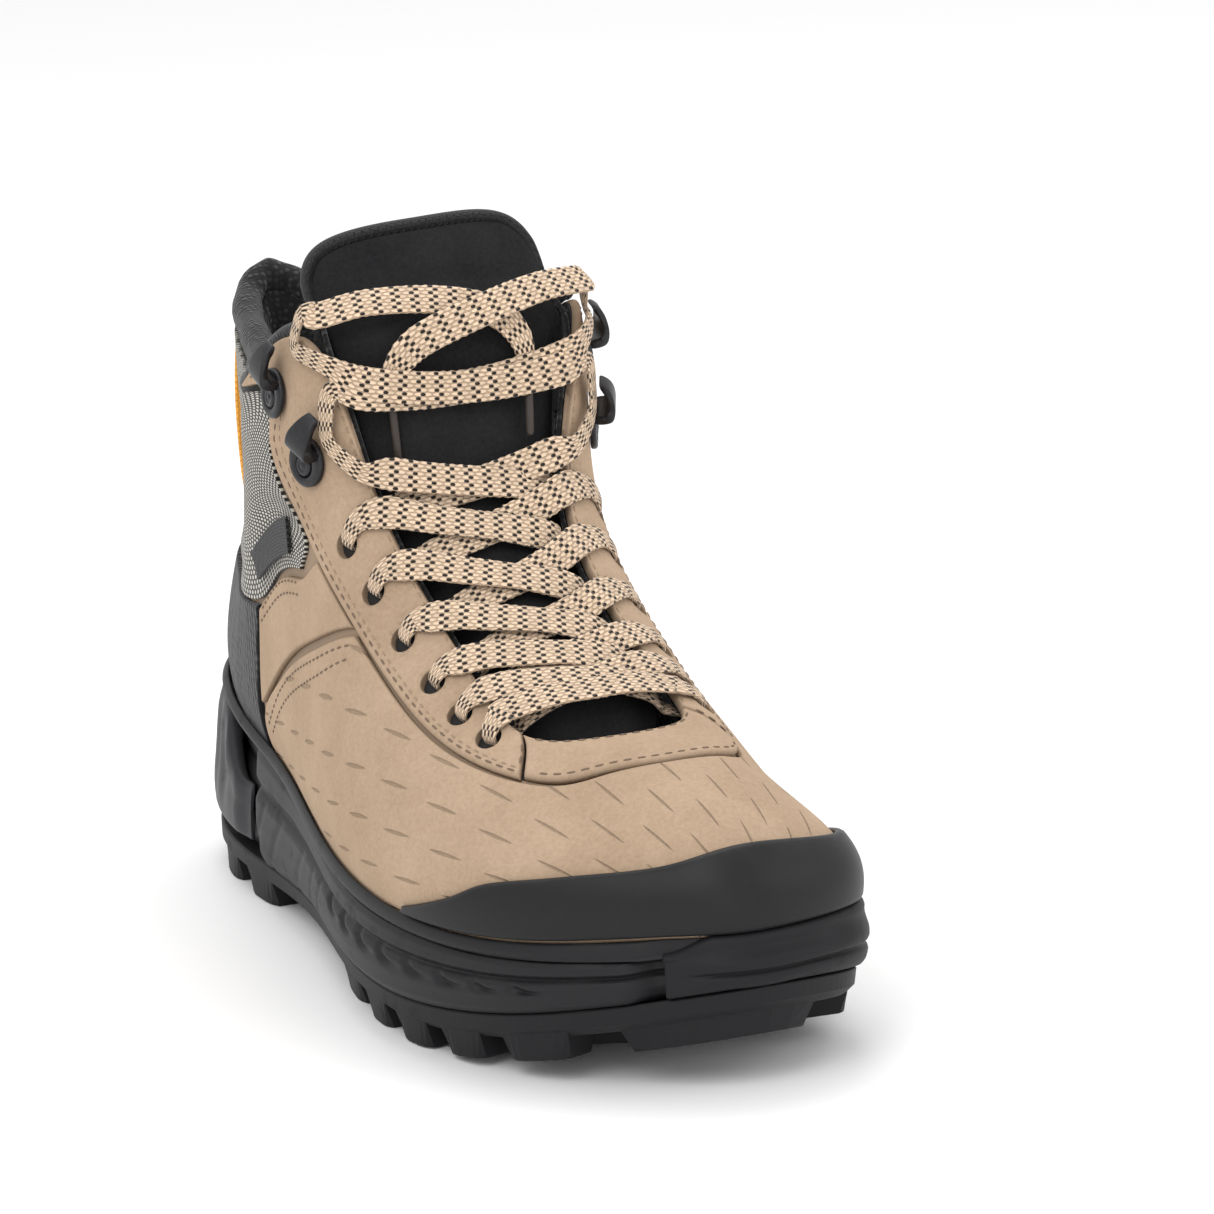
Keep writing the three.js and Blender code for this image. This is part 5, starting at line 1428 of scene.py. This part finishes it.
bt = np.linspace(0, 1, 240)
leg = 0.3
ex = np.where(bt < leg, 0.0, np.where(bt < 1 - leg, (bt - leg) / (1 - 2 * leg), 1.0))
ey = np.where(bt < leg, mix(0.74, 1, bt / leg),
              np.where(bt < 1 - leg, 1.0, mix(1, 0.74, (bt - 1 + leg) / leg)))
ew, es = tongue_plan(ex, ey)
top_line = instep(ew, es, tongue_top(es, ew))
kernel = np.ones(9) / 9
along = np.gradient(top_line, axis=0)
along = unit(np.stack([np.convolve(np.pad(along[:, k], 4, "edge"), kernel, "valid") for k in range(3)], 1))
b_up = instep_normal(ew, es)
b_out = -unit(np.cross(along, b_up))
b_mid = instep(ew, es, tongue_top(es, ew) - 3.4) + b_out * 2.6
binding = []
for a, b in ((-1.4, 3.9), (0.4, 3.6), (1.6, 2.2), (1.9, 0), (1.6, -2.4), (0.4, -3.6), (-1.4, -3.8)):
    binding.append(b_mid + b_out * a + b_up * b)
loft_body("tongue_edge_binding", np.stack(binding, 1), black_web, body=TONGUE, soften=1,
          uv=np.stack([np.broadcast_to(bt[:, None] * 0.23, (240, 14)),
                       np.broadcast_to(np.arange(14)[None] * 0.0012, (240, 14))], -1).reshape(-1, 2),
          replaces=["tongue_binding"])
for side, flip in (("lateral", same), ("medial", mirrored)):
    plan = patch(*(flip(p) for p in [
        [[2.7, 0.725], [4.5, 0.725], [6.2, 0.73]], [[2.7, 0.88], [4.5, 0.88], [6.2, 0.89]],
        [[2.7, 0.725], [2.7, 0.88]], [[6.2, 0.73], [6.2, 0.89]]]))
    sheet_body(f"gusset_cloth_{side}", on_skin(plan), -5.2, -4.6, 50, 8, mesh_black, round_to=0.2,
               replaces=[f"gusset_{side}"])
print("tongue done")

# %% [markdown]
# ## Lace hooks
# Four coated hooks: a round plate with a sunk rivet and a stepped strap that tapers to a wedge.

# %%


def hook_frame(w, s):
    z = instep_normal(w, s)
    inward = unit(instep_point(w, s * 0.9) - instep_point(w, s))
    x = unit(inward - z * (inward @ z))
    y = np.cross(z, x)
    return np.stack([x, y, z]), instep(w, s, 2.4 + GAP)


def ring_shape(loops):
    """(verts, faces) from equal loops, closed at both ends."""
    m = len(loops[0])
    faces = [(k * m + j, k * m + (j + 1) % m, (k + 1) * m + (j + 1) % m, (k + 1) * m + j)
             for k in range(len(loops) - 1) for j in range(m)]
    caps = [tuple(range(m)), tuple(range((len(loops) - 1) * m, len(loops) * m))]
    return np.concatenate(loops), faces + caps


def circle(x, radius, z, m=40):
    a = np.arange(m) / m * 2 * math.pi
    return np.stack([x + radius * np.cos(a), radius * np.sin(a), np.full(m, z)], 1)


plate_shape = ring_shape([circle(-3.6, 6.1, 0), circle(-3.6, 6.4, 0.3), circle(-3.6, 6.4, 1.2),
                          circle(-3.6, 5.9, 1.7), circle(-4.4, 3.6, 1.7), circle(-4.6, 3.2, 1.4),
                          circle(-4.6, 3.1, 0.7)])
rivet_shape = ring_shape([circle(-4.6, 2.6, 0.95), circle(-4.6, 2.7, 1.1), circle(-4.6, 2.7, 1.5),
                          circle(-4.6, 2.3, 1.85), circle(-4.6, 1.7, 1.95), circle(-4.6, 1.5, 1.75),
                          circle(-4.6, 0.8, 1.75), circle(-4.6, 0.5, 2.1)])


def strap_shape():
    outline = [(-0.9, 1.2), (1.7, 1.2), (1.9, 5.0), (7, 4.9), (9.6, 3.2), (10.4, 3.0), (10.8, 3.8),
               (8.2, 6.2), (3.6, 7), (0.4, 6.6), (-0.9, 5.2)]
    pts = np.array([[x, 0, z] for x, z in outline])
    pts = chaikin(pts, 2)
    half = np.interp(pts[:, 0], [-1, 4, 11], [4.4, 4.0, 1.8])
    middle = pts.mean(0)
    loops = []
    for f, shrink in ((-1, 0.9), (-0.94, 0.98), (-0.8, 1), (0.8, 1), (0.94, 0.98), (1, 0.9)):
        q = middle + (pts - middle) * [1, 1, 1] * shrink if shrink < 1 else pts.copy()
        q[:, 1] = f * half
        loops.append(q)
    return ring_shape(loops)


strap = strap_shape()
for side, sign in (("lateral", -1), ("medial", 1)):
    for level, w, s in (("lower", HOOKS[0], HOOK_S[0]), ("upper", HOOKS[1], HOOK_S[1])):
        axes, spot = hook_frame(w, sign * s)

        def seat(shape):
            return shape[0] @ axes + spot, shape[1]

        join_shapes(f"hook_{side}_{level}_coated", [seat(plate_shape), seat(strap)], hook_metal,
                    replaces=[f"hook_{side}_{level}"])
        join_shapes(f"rivet_{side}_{level}_head", [seat(rivet_shape)], rivet_metal,
                    replaces=[f"rivet_{side}_{level}"])
print("hooks done")

# %% [markdown]
# ## Pull loop, side tab and stitching

# %%


def spine(points):
    """Catmull-Rom through 3-D points, as a function of 0..1."""
    p = np.array(points, float)
    ext = np.concatenate([[2 * p[0] - p[1]], p, [2 * p[-1] - p[-2]]])

    def at(t):
        s = np.clip(t, 0, 1) * (len(p) - 1)
        i = np.minimum(np.floor(s).astype(int), len(p) - 2)
        f = (s - i)[..., None]
        a, b, c, d = (ext[i + k] for k in range(4))
        return 0.5 * (2 * b + (c - a) * f + (2 * a - 5 * b + 4 * c - d) * f**2
                      + (3 * b - a - 3 * c + d) * f**3)

    return at


# The strap's ends run on into the backstay and the heel panel that it is sewn to.
loop_line = spine([[-2.2, 130.4, 152.6], [-2.2, 134.6, 151], [-2.2, 136.2, 146],
                   [-2.4, 140.2, 136], [-2.4, 143.0, 124], [-2.2, 143.9, 112], [-2, 143.2, 101],
                   [-1.6, 140.6, 92], [-1.4, 138.0, 86], [-1.4, 134.6, 82.8]])
lt = np.linspace(0, 1, 140)
lp = loop_line(lt)
ld = unit(np.gradient(lp, axis=0))
lx = np.array([1.0, 0, 0])
ln = unit(np.cross(lx, ld))
profile = [(-7, -0.2), (-6.6, -0.75), (-5.4, -0.95), (0, -1.0), (5.4, -0.95), (6.6, -0.75), (7, -0.2),
           (7, 0.2), (6.6, 0.75), (5.4, 0.95), (0, 1.0), (-5.4, 0.95), (-6.6, 0.75), (-7, 0.2)]
loop_rings = np.stack([lp + lx * a + ln * b for a, b in profile], 1)
loop_uv = np.stack([np.broadcast_to(lt[:, None] * 0.068, (140, 14)),
                    np.broadcast_to(np.array([a for a, b in profile])[None] / 1000 + 0.01, (140, 14))], -1)
loft_body("heel_pull_loop", loop_rings, orange_web, soften=0, uv=loop_uv.reshape(-1, 2),
          replaces=["pull_loop"])

label_plan = patch([[6.5, 0.575], [7.3, 0.475]], [[6.62, 0.625], [7.5, 0.525]],
                   [[6.5, 0.575], [6.62, 0.625]], [[7.3, 0.475], [7.5, 0.525]])
sheet_body("side_tab", on_skin(label_plan), 2.0, 2.75, 40, 16, black_web, round_to=0.3,
           replaces=["side_label"])



def bead(scale=(1.0, 1.0, 1.0)):
    bm = bmesh.new()
    bmesh.ops.create_icosphere(bm, subdivisions=1, radius=1)
    verts = np.array([v.co[:] for v in bm.verts]) * scale
    faces = [tuple(v.index for v in f.verts) for f in bm.faces]
    bm.free()
    return verts, faces


def stitches(name, lines, material, length=2.5, gap=1.0, radius=0.33, body=SHELL):
    """Rows of thread beads along lines of points with their surface normals."""
    shape, faces = bead((length / 2, radius, radius * 0.8))
    shapes = []
    for points, normals in lines:
        run = np.concatenate([[0], np.cumsum(np.linalg.norm(np.diff(points, axis=0), axis=1))])
        for d in np.arange(length, run[-1] - length / 2, length + gap):
            p = np.array([np.interp(d, run, points[:, k]) for k in range(3)])
            q = np.array([np.interp(d + 0.4, run, points[:, k]) for k in range(3)])
            n = unit(np.array([np.interp(d, run, normals[:, k]) for k in range(3)]))
            x = unit(q - p)
            y = np.cross(n, x)
            shapes.append((shape @ np.stack([x, y, n]) + p, faces))
    return join_shapes(name, shapes, material, body=body)


def seam_line(points, off, n=240):
    q = curve(points)(np.linspace(0, 1, n))
    return skin(q[:, 0], q[:, 1], off), skin_normal(q[:, 0], q[:, 1]) * SIDE


for side, flip in (("lateral", same), ("medial", mirrored)):
    vamp_edge = [(7.2, 0.16), (6.68, 0.305), (5.58, 0.495), (4.98, 0.618)]
    second = [(7.1, 0.145), (6.6, 0.28), (5.5, 0.47), (4.9, 0.6)]
    low_edge = [(2.35, 0.672), (3.6, 0.667), (5.2, 0.672), (6.1, 0.675), (6.74, 0.688), (6.97, 0.72),
                (7.02, 0.78), (7.7, 0.955)]
    lower = [(2.35, 0.69), (3.6, 0.685), (5.2, 0.69), (6.05, 0.693), (6.66, 0.706), (6.88, 0.735),
             (6.93, 0.785), (7.6, 0.955)]
    inner = [(2.4, 0.978), (3.4, 0.978), (4.4, 0.978), (5.4, 0.978), (6.4, 0.98), (7.0, 0.972)]
    quarter_top = [(6.3, 0.545), (6.85, 0.487), (7.35, 0.41)]
    quarter_two = [(6.24, 0.53), (6.8, 0.47), (7.33, 0.392)]
    stitches(f"stitch_rows_{side}", [
        seam_line(flip(vamp_edge), 1.85), seam_line(flip(second), 1.85), seam_line(flip(low_edge), 2.5),
        seam_line(flip(quarter_top), 1.8), seam_line(flip(quarter_two), 1.8),
        seam_line(flip([(2.36, 0.69), (2.36, 0.84), (2.36, 0.97)]), 2.5)], thread_dark)
    stitches(f"stitch_fine_{side}", [seam_line(flip(lower), 2.5), seam_line(flip(inner), 2.5)],
             thread_tan, 1.9, 1.1, 0.26)
throat_rows = [[(k / 10 * 2.2, v) for k in range(-10, 11)] for v in (0.685, 0.975)]
stitches("stitch_throat", [seam_line(r, 2.5, 120) for r in throat_rows], thread_dark)
bind_rows = [(b_mid + b_out * -1.0 + b_up * 3.75, b_up)]
stitches("stitch_binding", bind_rows, thread_black, 1.6, 0.9, 0.25, body=TONGUE)
print("loop, tab and stitches done")
